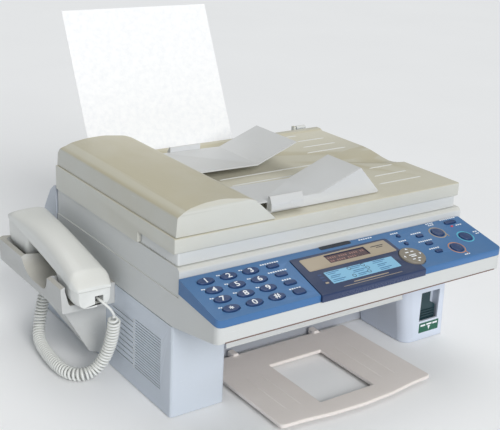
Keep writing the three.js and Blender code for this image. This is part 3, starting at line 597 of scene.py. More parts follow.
class Finish(Enum):
    """The finishes of the machine, by what they cover."""

    LID = Moulding("lid_beige", linear(205, 206, 200), linear(190, 183, 158), 0.75, 0.46, dust=0.12)
    WHITE = Moulding("front_off_white", linear(210, 213, 214), linear(206, 204, 194), 0.5, 0.45, dust=0.05)
    SIDE = Moulding("side_blue_grey", linear(200, 208, 219), linear(192, 196, 196), 0.5, 0.48, dust=0.1)
    TOWER = Moulding("tower_pale", linear(202, 210, 224), linear(200, 204, 210), 0.4, 0.45, dust=0.04)
    BAY = Moulding("bay_grey", linear(176, 180, 188), linear(160, 162, 168), 0.5, 0.55, dust=0.1)
    TRAY = Moulding("tray_warm_grey", linear(236, 229, 225), linear(229, 220, 213), 0.5, 0.5, dust=0.06)
    HANDSET = Moulding("handset_white", linear(222, 224, 222), linear(212, 211, 204),
                       0.5, 0.34, 0.5, 0.03, 0.3,
                       0.2, coat=0.15)
    CRADLE = Moulding("cradle_grey", linear(196, 198, 198), linear(172, 168, 156), 0.6, 0.45, dust=0.1)
    GUIDE = Moulding("guide_white", linear(206, 208, 210), linear(198, 197, 192), 0.5, 0.4, 0.7, 0.05)
    PANEL = Moulding("panel_blue", linear(66, 114, 168), linear(66, 110, 154), 0.5, 0.42, 0.7, 0.04, 0.2, 0.3)
    NAVY = Moulding("display_navy", linear(38, 55, 94), linear(36, 52, 86),
                    0.5, 0.3, 0.4, 0.04, 0.25, 0.3, 0.2)
    KEY = Moulding("key_blue", linear(40, 68, 114), linear(36, 60, 102), 0.5, 0.36, 0.6, 0.03, 0.3, 0.35)
    DIAL = Moulding("dial_tan", linear(138, 132, 122), linear(124, 116, 102), 0.5, 0.4, 0.6, 0.04)
    BEZEL = Moulding("bezel_tan", linear(172, 160, 142), linear(160, 146, 124), 0.5, 0.4, 0.7, 0.04)
    TEAL = Moulding("lever_teal", linear(8, 50, 58), linear(6, 42, 48), 0.5, 0.35, 0.6, 0.05)
    DARK = Moulding("dark_plastic", linear(52, 54, 58), linear(42, 43, 46), 0.5, 0.5, 1.0, 0.12)
    # painted shadow: the reddish-brown tone of the shade under the casing's front lip
    SEAM = Moulding("seam_shadow", linear(116, 92, 84), linear(98, 76, 68), 0.5, 0.6, 0.6, 0.05)
    RUBBER = Moulding("roller_rubber", linear(58, 59, 60), linear(50, 50, 50),
                      0.5, 0.8, 1.6, 0.2, specular=0.2)
    CORD = Moulding("cord_vinyl", linear(226, 228, 226), linear(212, 212, 204),
                    0.5, 0.36, 0.3, 0.02, 0.15, 0.1)
    DRUM = Moulding("drum_coating", linear(40, 126, 132), linear(34, 108, 116),
                    0.4, 0.12, 0.1, 0.0, 0.1, coat=0.6)
    INK_WHITE = Print("white_ink", linear(240, 243, 246))
    INK_DARK = Print("dark_ink", linear(40, 46, 56))
    CARD = Print("station_card", linear(138, 192, 222), 0.3)
    CARD_INK = Print("card_ink", linear(58, 112, 158))
    LCD = Print("display_cell", linear(92, 74, 78), 0.18)
    LCD_DOTS = Print("display_dots", linear(146, 110, 104), 0.2)
    RING_TAN = Print("ring_tan", linear(178, 158, 132))
    RING_CYAN = Print("ring_cyan", linear(92, 190, 210))
    RING_ORANGE = Print("ring_orange", linear(196, 140, 110))
    LABEL_GREEN = Print("label_green", linear(24, 96, 74), 0.35)
    LAMP_RED = Print("lamp_red", linear(200, 60, 56), 0.3, 0.4)
    STEEL = Metal("turned_steel", linear(200, 202, 205))
    BRASS = Metal("contact_brass", linear(214, 176, 96), 0.25, (900.0, 900.0, 4.0))
    GLASS = Clear("platen_clear", linear(226, 238, 238))
    CLEAR_PLUG = Clear("plug_clear", linear(222, 230, 230), 0.12, 0.6)
    PAPER = PaperSheet("plain_paper")
    BOARD = Board("board_lacquer")

    @property
    def material(self) -> bpy.types.Material:
        """The finish's material, built the first time that it is asked for."""
        return bpy.data.materials.get(f"finish_{self.value.name}") or self.value.make()


def dress(thing: bpy.types.Object, finish: Finish, body: str | None = None) -> bpy.types.Object:
    """Gives a piece its finish and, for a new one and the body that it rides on."""
    thing.data.materials.clear()
    thing.data.materials.append(finish.material)
    if body:
        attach(thing, body)
    log.info("%s: %s on %s", thing.name, finish.name.lower(), body or "its own body")
    return thing


def dress_node(node: str, finish: Finish) -> None:
    """Gives a CAD node that stays visible its finish."""
    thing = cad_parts[node]
    for index in range(max(1, len(thing.material_slots))):
        if index < len(thing.material_slots):
            thing.material_slots[index].material = finish.material
        else:
            thing.data.materials.append(finish.material)
    log.info("%s keeps its CAD shape: %s", node, finish.name.lower())


# ------------------------------------------------------------------ room, light and camera
@dataclass
class Studio:
    """A pale floor, soft light and the camera."""

    eye: tuple[float, float, float] = (-484.7, -798.5, 574.5)
    yaw: float = 35.89
    pitch: float = 19.85
    roll: float = 2.8
    lens: float = 71.4

    def build(self) -> None:
        """Makes the camera, the floor, the world light and two soft lamps."""
        self._camera()
        self._floor()
        self._light()

    def _camera(self) -> None:
        """Points the camera by its yaw from +Y, its pitch down and its roll."""
        yaw, pitch, roll = (math.radians(v) for v in (self.yaw, self.pitch, self.roll))
        ahead = np.array([math.sin(yaw) * math.cos(pitch), math.cos(yaw) * math.cos(pitch), -math.sin(pitch)])
        level = np.array([math.cos(yaw), -math.sin(yaw), 0.0])
        top = np.cross(level, ahead)
        right = level * math.cos(roll) + top * math.sin(roll)
        above = -level * math.sin(roll) + top * math.cos(roll)
        data = bpy.data.cameras.new("camera")
        data.lens, data.sensor_width, data.clip_start, data.clip_end = self.lens, 36.0, 0.01, 50.0
        camera = bpy.data.objects.new("camera", data)
        matrix = np.eye(4)
        matrix[:3, 0], matrix[:3, 1], matrix[:3, 2], matrix[:3, 3] = right, above, -ahead, place(self.eye)
        camera.matrix_world = Matrix(matrix)
        bpy.context.scene.collection.objects.link(camera)
        bpy.context.scene.camera = camera

    def _floor(self) -> None:
        """A wide plain floor."""
        reach = 6.0
        grid = np.array([[-reach, -reach, 0], [reach, -reach, 0],
                         [reach, reach, 0], [-reach, reach, 0]], float)
        floor = Surface().add(grid, [[0, 1, 2, 3]]).build("floor")
        material, g, skin = shader("floor_white")
        g.feed(skin.inputs["Base Color"], g.blend(
            g.noise(g.here(), 3.0, 3.0), linear(244, 244, 244), linear(248, 248, 248)))
        skin.inputs["Roughness"].default_value = 0.85
        skin.inputs["Specular IOR Level"].default_value = 0.1
        floor.data.materials.append(material)

    def _light(self) -> None:
        """An even pale sky, a large soft lamp high in front and a weak one over the back."""
        bpy.context.scene.view_settings.view_transform = "Standard"
        world = bpy.data.worlds.new("studio_sky")
        world.use_nodes = True
        tree = world.node_tree
        seen = tree.nodes.new("ShaderNodeLightPath")
        level = tree.nodes.new("ShaderNodeMapRange")
        level.inputs["To Min"].default_value, level.inputs["To Max"].default_value = 0.26, 0.97
        tree.links.new(seen.outputs["Is Camera Ray"], level.inputs["Value"])
        tree.links.new(level.outputs[0], tree.nodes["Background"].inputs[1])
        tree.nodes["Background"].inputs[0].default_value = (0.9, 0.96, 1.0, 1.0)
        bpy.context.scene.world = world
        for name, where, power, angle in (
                ("front_lamp", (-0.14, -0.86, 0.46), 2.05, 30.0), ("top_lamp", (0.2, 0.2, 1.0), 1.0, 50.0)):
            data = bpy.data.lights.new(name, "SUN")
            data.energy, data.angle = power, math.radians(angle)
            lamp = bpy.data.objects.new(name, data)
            lamp.matrix_world = Vector(where).to_track_quat("Z", "Y").to_matrix().to_4x4()
            bpy.context.scene.collection.objects.link(lamp)


# ------------------------------------------------------------------ curly cord
def smooth_route(knots: Sequence, per_span: int) -> np.ndarray:
    """A centripetal Catmull-Rom curve through knots.

    Each span mixes its four nearest knots by three rounds of linear blending, over parameters
    that grow with the square root of the distance between knots.
    """
    p = np.asarray(knots, float)
    p = np.vstack([2 * p[0] - p[1], p, 2 * p[-1] - p[-2]])
    t = np.concatenate([[0], np.cumsum(np.linalg.norm(np.diff(p, axis=0), axis=1) ** 0.5)])
    t0, t1, t2, t3 = (t[i:len(t) - 3 + i, None, None] for i in range(4))
    p0, p1, p2, p3 = (p[i:len(p) - 3 + i, None, :] for i in range(4))
    x = t1 + (t2 - t1) * np.linspace(0, 1, per_span, endpoint=False)[None, :, None]
    a1 = (t1 - x) / (t1 - t0) * p0 + (x - t0) / (t1 - t0) * p1
    a2 = (t2 - x) / (t2 - t1) * p1 + (x - t1) / (t2 - t1) * p2
    a3 = (t3 - x) / (t3 - t2) * p2 + (x - t2) / (t3 - t2) * p3
    b1 = (t2 - x) / (t2 - t0) * a1 + (x - t0) / (t2 - t0) * a2
    b2 = (t3 - x) / (t3 - t1) * a2 + (x - t1) / (t3 - t1) * a3
    curve = (t2 - x) / (t2 - t1) * b1 + (x - t1) / (t2 - t1) * b2
    return np.vstack([curve.reshape(-1, 3), p[-2]])


def lengths(path: np.ndarray) -> np.ndarray:
    """The distance along a path up to each of its points."""
    return np.concatenate([[0], np.cumsum(np.linalg.norm(np.diff(path, axis=0), axis=1))])


def carried_frames(path: np.ndarray) -> tuple[np.ndarray, np.ndarray, np.ndarray]:
    """Tangents of a path with two cross directions that turn as little as they can."""
    tangent = np.gradient(path, axis=0)
    tangent /= np.linalg.norm(tangent, axis=1)[:, None]
    first = np.cross(tangent[0], [0.3, 0.9, 0.2])
    across = [first / np.linalg.norm(first)]
    for direction in tangent[1:]:
        turned = across[-1] - direction * np.dot(across[-1], direction)
        across.append(turned / np.linalg.norm(turned))
    across = np.array(across)
    return tangent, across, np.cross(tangent, across)


def tube_rings(path: np.ndarray, radius: np.ndarray | float, sides: int) -> np.ndarray:
    """Circles round a path's points, square to it."""
    _, across, other = carried_frames(path)
    angle = np.linspace(0, 2 * np.pi, sides, endpoint=False)
    spread = np.cos(angle)[None, :, None] * across[:, None] + np.sin(angle)[None, :, None] * other[:, None]
    return path[:, None] + spread * np.broadcast_to(np.asarray(radius, float), len(path))[:, None, None]


@dataclass
class HandsetCord:
    """The coiled cord from the handset's socket to the jack under the cradle."""

    wire: float = 3.1
    outer: float = 15.6
    pitch: float = 4.25
    per_turn: int = 16
    lead: tuple = ((-30.5, 112, 105.5), (-30.2, 106, 105.4), (-27, 100.5, 102), (-21, 97.5, 95),
                   (-16.9, 98, 88))
    coil: tuple = (
        (-16, 98.6, 85), (-15.2, 101, 74), (-15, 104, 62),
        (-15.6, 107.5, 50), (-17.4, 111, 38), (-21, 114.5, 26),
        (-27.5, 117, 16), (-36, 118.5, 10.4), (-46, 121, 9),
        (-54, 128, 8.8), (-58.5, 140, 8.8), (-60, 156, 8.8),
        (-59.5, 174, 8.8), (-58, 192, 9), (-56, 209, 10), (-53, 223, 13.5), (-49, 232, 21), (-45.5, 236, 32),
        (-42.5, 237, 45), (-40, 236, 58), (-38, 234.6, 70))
    tail: tuple = ((-37.8, 234.3, 73.4), (-37.5, 234, 78.4))

    def path(self) -> np.ndarray:
        """The wire's own path: a helix whose radius grows from the lead and closes at the tail.

        A point at distance s along the middle line stands off it by R(s), at the angle
        2 pi s / pitch, where R rises smoothly over 7 mm at both ends of the coil.
        """
        middle = smooth_route(self.lead + self.coil + self.tail, 24)
        run = lengths(middle)
        start = run[24 * len(self.lead)]
        end = run[24 * (len(self.lead) + len(self.coil) - 1)]
        count = int(run[-1] / self.pitch * self.per_turn)
        s = np.linspace(0, run[-1], count)
        even = np.stack([np.interp(s, run, middle[:, i]) for i in range(3)], -1)
        _, across, other = carried_frames(even)
        rise = np.clip(np.minimum(s - start, end - s) / 7.0, 0, 1)
        radius = (self.outer - self.wire) / 2 * rise**2 * (3 - 2 * rise)
        angle = 2 * np.pi * (s - start) / self.pitch
        return even + radius[:, None] * (np.cos(angle)[:, None] * across + np.sin(angle)[:, None] * other)

    def build(self) -> None:
        path = place(self.path())
        cord = Surface().loft(tube_rings(path, self.wire * MM / 2, 10)).build("handset_cord_coil", 60)
        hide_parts("handset_cord")
        dress(cord, Finish.CORD)
        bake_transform(cord)
        plugs = self._plugs()

    def _plugs(self) -> list[bpy.types.Object]:
        """The clear modular plug under the cradle and the dark one in the handset's socket."""
        low, high = machine_box("jack_plug")
        surface = Surface()
        outline = rounded_polygon([(low[0], low[1]), (high[0], low[1]),
                                   (high[0], high[1]), (low[0], high[1])], 0.8)
        slab(surface, outline, low[2] + 3, high[2], place, 0.5)
        neck = superellipse(outline.mean(0), (3.2, 2.6), 4, 24)
        slab(surface, neck, low[2], low[2] + 3.2, place, 0.3)
        latch = rounded_polygon([(low[0] + 3, high[1] - .4), (high[0] - 3, high[1] - .4),
                                 (high[0] - 3, high[1]),
                                 (low[0] + 3, high[1])], 0.15)
        slab(surface, latch, low[2] + 1, high[2] - 2, place)
        jack = surface.build("jack_plug_body")
        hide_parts("jack_plug")
        dress(jack, Finish.CLEAR_PLUG, "base")
        contacts = Surface()
        for i in range(4):
            x = low[0] + 3 + i * 1.15
            slab(contacts, rounded_polygon([(x, low[1]), (x + .5, low[1]),
                                            (x + .5, low[1] + 2), (x, low[1] + 2)],
                                           0.05, 2), high[2] - 5, high[2] - 0.6, place)
        dress(contacts.build("jack_plug_contacts"), Finish.BRASS, "base")
        dress_node("handset_plug", Finish.DARK)
        return [jack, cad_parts["handset_plug"]]


# ------------------------------------------------------------------ handset
def clamp01(values: np.ndarray) -> np.ndarray:
    """Values held between 0 and 1."""
    return np.clip(values, 0, 1)


def smoothstep(values: np.ndarray, low: float, high: float) -> np.ndarray:
    """A smooth rise from 0 at low to 1 at high."""
    t = clamp01((values - low) / (high - low))
    return t * t * (3 - 2 * t)


@dataclass
class Handset:
    """The handset: two shells that meet on a sloping parting line."""

    middle: float = -36.0
    half: float = 25.0
    front: float = 106.0
    rear: float = 297.6
    across: int = 33

    def sections(self, y: np.ndarray) -> dict[str, np.ndarray]:
        """Heights and half width at distances y.

        The crown is an arch, 129 + 26 sin, whose ends fall by the square root of the distance
        to them; the underside is a straight grip between the deep mouthpiece and earpiece.
        """
        nose = np.sqrt(clamp01((y - self.front + 1.5) / 18))
        tail = np.sqrt(clamp01((self.rear + 1 - y) / 16))
        arch = 129 + 26 * np.sin(np.pi / 2 * clamp01((y - self.front) / 146))
        parting = 118 + 0.155 * (y - self.front)
        crown = parting + (arch + 3 - parting) * nose * tail + 0.4
        waist = self.half - 3.5 * np.sin(np.pi * clamp01((y - self.front) / (self.rear - self.front)))
        width = np.minimum(waist, np.minimum(self.half * (0.72 + 0.28 * nose),
                                             self.half * (0.8 + 0.2 * tail)))
        grip = parting - 6.5
        belly = (grip + (97.5 - grip) * (1 - smoothstep(y, 146, 164))
                 + (107.2 - grip) * smoothstep(y, 236, 252))
        return {"parting": parting, "crown": crown, "width": width, "belly": belly}

    def stations(self) -> np.ndarray:
        """Distances from front to rear, closer together at the ends and at the ears."""
        knots = np.array([self.front, 107, 109, 113, 120, 146, 164, 236, 252, 280, 291, 296, self.rear])
        counts = [4, 5, 6, 7, 14, 16, 26, 14, 12, 7, 6, 4]
        parts = [np.linspace(a, b, n, endpoint=False) for a, b, n in zip(knots[:-1], knots[1:], counts)]
        return np.concatenate(parts + [[self.rear]])

    def shell(self, upper: bool) -> np.ndarray:
        """Rings of one shell: from the rim, over the crown or under the belly, and back."""
        y = self.stations()
        cut = self.sections(y)
        rim = cut["parting"] + (0.2 if upper else -0.2)
        reach = (cut["crown"] if upper else cut["belly"]) - rim
        angle = np.linspace(0, np.pi, self.across)[None, :]
        side = np.sign(np.cos(angle)) * np.abs(np.cos(angle)) ** (0.7 if upper else 0.55)
        x = self.middle + cut["width"][:, None] * side * (1.0 if upper else 0.94)
        z = rim[:, None] + reach[:, None] * np.clip(np.sin(angle), 0, 1) ** (0.55 if upper else 0.45)
        skin = np.stack([x, np.broadcast_to(y[:, None], x.shape), z], -1)
        floor = np.linspace(skin[:, -1], skin[:, 0], 8, axis=1)[:, 1:-1]
        return np.concatenate([skin, floor], 1)

    def build(self) -> None:
        """Makes both shells, the dark joint between them and the two grilles."""
        top = Surface().loft(place(self.shell(True))).build("handset_top", 50)
        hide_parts("handset_upper_shell")
        self._round(top, 1.2)
        dress(top, Finish.HANDSET, "handset")
        bottom = Surface().loft(place(self.shell(False))).build("handset_bottom", 50)
        bottom = carved(bottom, self._socket(), "handset_bottom")
        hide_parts("handset_lower_shell")
        self._round(bottom, 0.8)
        dress(bottom, Finish.HANDSET, "handset")
        self._joint()
        self._grilles()

    @staticmethod
    def _round(thing: bpy.types.Object, width: float) -> None:
        """Rounds the rims and the end faces."""
        bevel = thing.modifiers.new("rounded_rim", "BEVEL")
        bevel.width, bevel.segments, bevel.limit_method = width * MM, 3, "ANGLE"
        bevel.angle_limit, bevel.harden_normals = math.radians(48), True

    def _socket(self) -> Surface:
        """The space of the cord's socket, with its open notch below."""
        surface = Surface()
        slab(surface, rounded_polygon([(-35.6, 100), (-25.4, 100), (-25.4, 115), (-35.6, 115)], 0.5),
             100.5, 110.5,
             place)
        slab(surface, rounded_polygon([(-33.2, 100), (-27.5, 100), (-27.5, 112.6), (-33.2, 112.6)], 0.5),
             90, 101.5,
             place)
        return surface

    def _joint(self) -> None:
        """A dark gasket just inside the parting line, which closes the gap between the shells."""
        y = self.stations()[6:-5]
        cut = self.sections(y)
        turn = np.linspace(0, 2 * np.pi, 4, endpoint=False) + np.pi / 4
        x = self.middle + (cut["width"][:, None] * 0.94 - 0.9) * np.sign(np.cos(turn))
        z = cut["parting"][:, None] + 0.9 * np.sign(np.sin(turn))
        rings = np.stack([x, np.broadcast_to(y[:, None], x.shape), z], -1)
        dress(Surface().loft(place(rings)).build("handset_parting_gasket"), Finish.DARK,
              "handset")

    def _grilles(self) -> None:
        """Rings of sound holes under the earpiece and the mouthpiece, as thin dark discs that paint the shade
        inside the holes.
        """
        # painted shade: the discs are solid plates in dark plastic, not holes
        surface = Surface()
        for centre, height in (((self.middle - 1, 132.0), 97.3), ((self.middle - 1, 276.0), 107.0)):
            spots = [np.zeros(2)]
            for radius, count in ((4.5, 6), (9.0, 12)):
                angle = np.arange(count) * 2 * np.pi / count
                spots.extend(np.stack([np.cos(angle), np.sin(angle)], -1) * radius)
            for spot in spots:
                slab(surface, superellipse(np.array(centre) + spot, (0.8, 0.8), 2, 10),
                     height, height + 0.9, place)
        dress(surface.build("handset_sound_hole_shade"), Finish.DARK, "handset")


def carved(thing: bpy.types.Object, space: Surface, name: str) -> bpy.types.Object:
    """A copy of a piece with a space cut out of it; the first piece and the cutter are removed."""
    cutter = space.build("cutter")
    cut = thing.modifiers.new("cut", "BOOLEAN")
    cut.operation, cut.object, cut.solver = "DIFFERENCE", cutter, "FAST"
    shaped = thing.evaluated_get(bpy.context.evaluated_depsgraph_get())
    mesh = bpy.data.meshes.new_from_object(shaped)
    for old in (thing, cutter):
        bpy.data.objects.remove(old, do_unlink=True)
    return finish_mesh(mesh, name, 45)


# ------------------------------------------------------------------ cradle and lower body
@dataclass
class Cradle:
    """The handset's tray on the left side, with its switch and its jack."""

    def build(self) -> None:
        """Rounds the tray and dresses it, and adds the hook switch's cap and two screws."""
        dress(softened("handset_cradle", 1.6, 4), Finish.CRADLE, "base")
        low, high = machine_box("hook_switch")
        cap = Surface()
        middle = (low[:2] + high[:2]) / 2
        outline = superellipse(middle, (high[:2] - low[:2]) / 2, 5, 32)
        slab(cap, outline, low[2], high[2], place, 1.4)
        piece = cap.build("hook_switch_cap")
        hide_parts("hook_switch")
        dress(piece, Finish.DARK, "hook_switch")
        screws = Surface()
        for y in (262.0, 292.0):
            slab(screws, superellipse((-52, y), (3.2, 3.2), 2, 24), 103.0, 104.4, place, 0.7)
        dress(screws.build("cradle_screws"), Finish.STEEL, "base")


@dataclass
class LowerBody:
    """The two towers, the bay between them, the rear housing and the feet."""

    foot_spots: tuple = ((20, 22), (385, 22), (20, 258), (385, 258))

    def build(self) -> None:
        """Dresses the covers and adds trims, vents, feet and the lever's label."""
        dress(softened("base_frame", 0.5, 2), Finish.BAY, "base")
        dress(softened("left_cover", 0.7, 3), Finish.SIDE, "base")
        dress(softened("right_cover", 0.8, 3), Finish.TOWER, "base")
        dress(softened("rear_cover", 1.6, 4), Finish.SIDE, "base")
        dress(softened("release_lever", 0.6, 2), Finish.TEAL, "release_lever")
        self._beam()
        self._vent_studs()
        self._feet()
        self._lever_label()

    def _beam(self) -> None:
        """The smooth white front of the cross beam, with a bead along its lower edge."""
        proud = 0.1
        face = Surface()
        section = rounded_polygon([(0, 67.0), (0, 108.2), (0.3, 108.2), (0.3, 67.0)], 0.12, 3)
        path = np.array([[70.2, 0.05, 0], [332.0, 0.05, 0]])
        rings = np.stack([np.column_stack([np.full(len(section), x), proud + section[:, 0] * 0.9,
                                           section[:, 1]])
                          for x in path[:, 0]])
        face.loft(place(rings))
        bead = np.stack([np.column_stack([np.full(12, x), 0.6 + np.cos(a) * 0.9, 67.2 + np.sin(a) * 0.9])
                         for a in [np.linspace(0, 2 * np.pi, 12, endpoint=False)] for x in (70.5, 333.0)])
        face.loft(place(bead))
        dress(face.build("bay_beam_front"), Finish.WHITE, "base")

    def _vent_studs(self) -> None:
        """The column of small raised bars between the two louvre blocks."""
        studs = Surface()
        for i in range(19):
            z = 25 + i * 3.3
            outline = superellipse((81.4, z), (1.2, 0.7), 4, 12)
            slab(studs, outline, -0.05, 0.35,
                 lambda p: place(np.column_stack([-p[:, 2], p[:, 0], p[:, 1]])), 0.15)
        dress(studs.build("vent_studs"), Finish.WHITE, "base")

    def _feet(self) -> None:
        """A ribbed rubber pad in each foot."""
        pads = Surface()
        for x, y in self.foot_spots:
            for radius, top in ((7.2, 0.5), (5.2, 0.9)):
                slab(pads, superellipse((x, y), (radius, radius), 2.2, 32), 0.02, top, place, 0.1)
        dress(pads.build("foot_pads"), Finish.RUBBER, "base")

    def _lever_label(self) -> None:
        """The green label under the lever's window, with an arrow that points down."""
        front = lambda p: place(np.column_stack([p[:, 0], -p[:, 2], p[:, 1]]))
        label = Surface()
        slab(label, rounded_polygon([(367.8, 10.5), (402, 10.5), (402, 24.2), (367.8, 24.2)], 1.0),
             0.0, 0.14, front)
        dress(label.build("lever_label"), Finish.LABEL_GREEN, "base")
        marks = Surface()
        slab(marks, np.array([(383.0, 18.4), (387.6, 18.4), (385.3, 12.2)]), 0.13, 0.22, front)
        for x0, x1 in ((370.4, 378.6), (391.5, 399.6)):
            slab(marks, rounded_polygon([(x0, 19.2), (x1, 19.2), (x1, 21.6), (x0, 21.6)], 0.3),
                 0.13, 0.22, front)
        slab(marks, rounded_polygon([(380.6, 19.6), (389.8, 19.6), (389.8, 21.8), (380.6, 21.8)], 0.3),
             0.13, 0.22,
             front)
        dress(marks.build("lever_label_marks"), Finish.INK_WHITE, "base")


@dataclass
class OutputTray:
    """The front paper tray, with its raised rim and finger window."""

    def build(self) -> None:
        """Rounds the tray and adds four long ribs along it."""
        dress(softened("output_tray", 1.6, 4), Finish.TRAY, "output_tray")
        ribs = Surface()
        section = superellipse((0, 9.3), (0.9, 0.55), 2, 12)
        for x in (112.0, 132.0, 252.0, 272.0):
            path = np.array([[x, -60.0, 0], [x, -56, 0.0], [x, 20, 0.0], [x, 28, 0]])
            rings = swept(path, section, (1, 0, 0), (0, 0, 1))
            scale = np.array([0.2, 1, 1, 0.2])[:, None]
            rings[:, :, 0] = x + (rings[:, :, 0] - x) * scale
            rings[:, :, 2] = 9.3 + (rings[:, :, 2] - 9.3) * scale
            ribs.loft(place(rings))
        dress(ribs.build("output_tray_ribs"), Finish.TRAY, "output_tray")


@dataclass
class PaperFeed:
    """The leaning tray at the back and the blank sheets in it."""

    lean: float = 0.4743
    sheets: int = 4

    def build(self) -> None:
        """Dresses the tray and makes the sheets."""
        dress(softened("paper_input_tray", 0.5, 2), Finish.SIDE, "base")
        self._sheets()

    def _sheets(self) -> None:
        """A few sheets, each a grid over width and height that bows back a little at the top.

        A point at u across and v up lies on the leaning plane, less 0.25 mm of spread between
        sheets, and every sheet's edges are shifted by a fraction of a millimetre.
        """
        low, high = machine_box("recording_paper")
        normal = np.array([0, 1, -self.lean]) / math.hypot(1, self.lean)
        stack = Surface()
        for i in range(self.sheets):
            shift = 0.35 * math.sin(2.4 * i + 0.6)
            u = np.linspace(0, 1, 14)[None, :]
            v = np.linspace(0, 1, 26)[:, None]
            trim = 0.25 * (i % 2)
            x = low[0] + 0.5 + shift * 0.5 + (high[0] - low[0] - 1.0) * u + 0 * v
            z = low[2] + 0.6 + (high[2] - low[2] - 2.0 - trim) * v + 0 * u
            depth = 0.16 + 0.28 * i + 0.05 * np.sin(3 * v + i)
            y = 297 + self.lean * (z - 209) + depth * math.hypot(1, self.lean)
            face = np.stack([x, y, z], -1)
            back = face + normal * 0.1
            rows, columns = face.shape[:2]
            faces = grid_faces(rows, columns)
            count = rows * columns
            edge = np.concatenate([np.arange(columns), np.arange(2, rows + 1) * columns - 1,
                                   (rows - 1) * columns + np.arange(columns - 2, -1, -1),
                                   np.arange(rows - 2, 0, -1) * columns])
            after = np.roll(edge, -1)
            rim = np.stack([edge, edge + count, after + count, after], -1)
            points = np.concatenate([face.reshape(-1, 3), back.reshape(-1, 3)])
            stack.add(place(points), np.concatenate([faces, faces[:, ::-1] + count, rim]))
        pile = stack.build("blank_sheets")
        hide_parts("recording_paper")
        dress(pile, Finish.PAPER, "recording_paper")


# ------------------------------------------------------------------ control panel
@dataclass(frozen=True)
class PanelPlane:
    """The sloped plane of the keys: x across, y as seen from above, and height off the surface."""

    front: float = -86.0
    top: float = 152.6
    tilt: float = 0.2165

    def points(self, flat: np.ndarray) -> np.ndarray:
        """Points (x, y, height) on or over the panel, in metres.

        The height h moves a point by h(-sin t) in y and h(cos t) in z, where t is the tilt.
        """
        x, y, height = np.asarray(flat, float).T
        z = self.top + np.tan(self.tilt) * (y - self.front)
        return place(np.stack([x, y - height * np.sin(self.tilt), z + height * np.cos(self.tilt)], -1))


PLANE = PanelPlane()
DISPLAY_RISE = 1.17  # how far the display panel stands over the keys' plane


class KeyShape(Enum):
    """How a key's top is shaped: the outline's power and the depth of its dish."""

    OVAL = (2.0, 0.35)
    PILL = (3.2, 0.2)
    ROUND = (2.0, 0.55)
    DIAL = (2.0, 0.0)


@dataclass
class Key:
    """One key, shaped over its CAD node."""

    node: str
    shape: KeyShape
    mark: str = ""
    finish: Finish = Finish.KEY

    def build(self) -> None:
        """Makes the key's body and its numeral."""
        low, high = machine_box(self.node)
        middle = (low + high) / 2
        tall = 6.1 if self.shape is KeyShape.DIAL else 4.9
        sink = 3.2
        s = math.sin(PLANE.tilt)
        half = np.array([(high[0] - low[0]) / 2, ((high[1] - low[1]) - tall * s) / 2])
        off = (tall / 2 - sink) * s
        centre = np.array([middle[0], middle[1] + off])
        top = tall - sink
        power, dish = self.shape.value
        if self.shape is not KeyShape.DIAL:
            half = half - 0.12
        profile = [(1.0, -sink), (1.0, top - 1.0), (0.985, top - 0.5), (0.95, top - 0.15), (0.88, top),
                   (0.76, top - 0.1 * dish), (0.5, top - 0.6 * dish), (0.2, top - 0.95 * dish)]
        rings = []
        for scale, height in profile:
            ring = superellipse(centre, half * scale, power, 56)
            rings.append(PLANE.points(np.column_stack([ring, np.full(len(ring), height)])))
        body = Surface().loft(np.stack(rings)).build(f"{self.node}_cap", 40)
        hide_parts(self.node)
        dress(body, self.finish, self.node)
        if self.mark:
            numeral = lettering(f"{self.node}_numeral", self.mark, centre, 7.2, top - 0.1)
            dress(numeral, Finish.INK_WHITE, self.node)


def lettering(name: str, text: str, centre: np.ndarray, size: float, height: float) -> bpy.types.Object:
    """A numeral or sign, laid on the panel's plane as a mesh.

    Args:
        name: the piece's name.
        text: one or two characters.
        centre: the middle of the sign, as x and y in millimetres.
        size: the height of the letters in millimetres.
        height: how far it stands off the plane, in millimetres.

    Returns:
        The mesh object.
    """
    curve = bpy.data.curves.new(name, "FONT")
    curve.body, curve.size = text, 1.0
    curve.offset, curve.extrude = 0.012, 0.006
    curve.resolution_u = 3
    sign = bpy.data.objects.new(name, curve)
    bpy.context.scene.collection.objects.link(sign)
    bpy.context.view_layer.update()
    mesh = bpy.data.meshes.new_from_object(sign.evaluated_get(bpy.context.evaluated_depsgraph_get()))
    bpy.data.objects.remove(sign, do_unlink=True)
    flat = np.empty(len(mesh.vertices) * 3)
    mesh.vertices.foreach_get("co", flat)
    flat = flat.reshape(-1, 3)
    scale = size / 0.7 * np.array([1.15, 1.0, 1.0])
    flat = (flat - (flat.max(0) + flat.min(0)) / 2) * scale
    flat[:, 2] = height + 0.12 * np.sign(flat[:, 2])
    flat[:, :2] += centre
    mesh.vertices.foreach_set("co", PLANE.points(flat).ravel())
    mesh.materials.clear()
    return finish_mesh(mesh, name, 30)


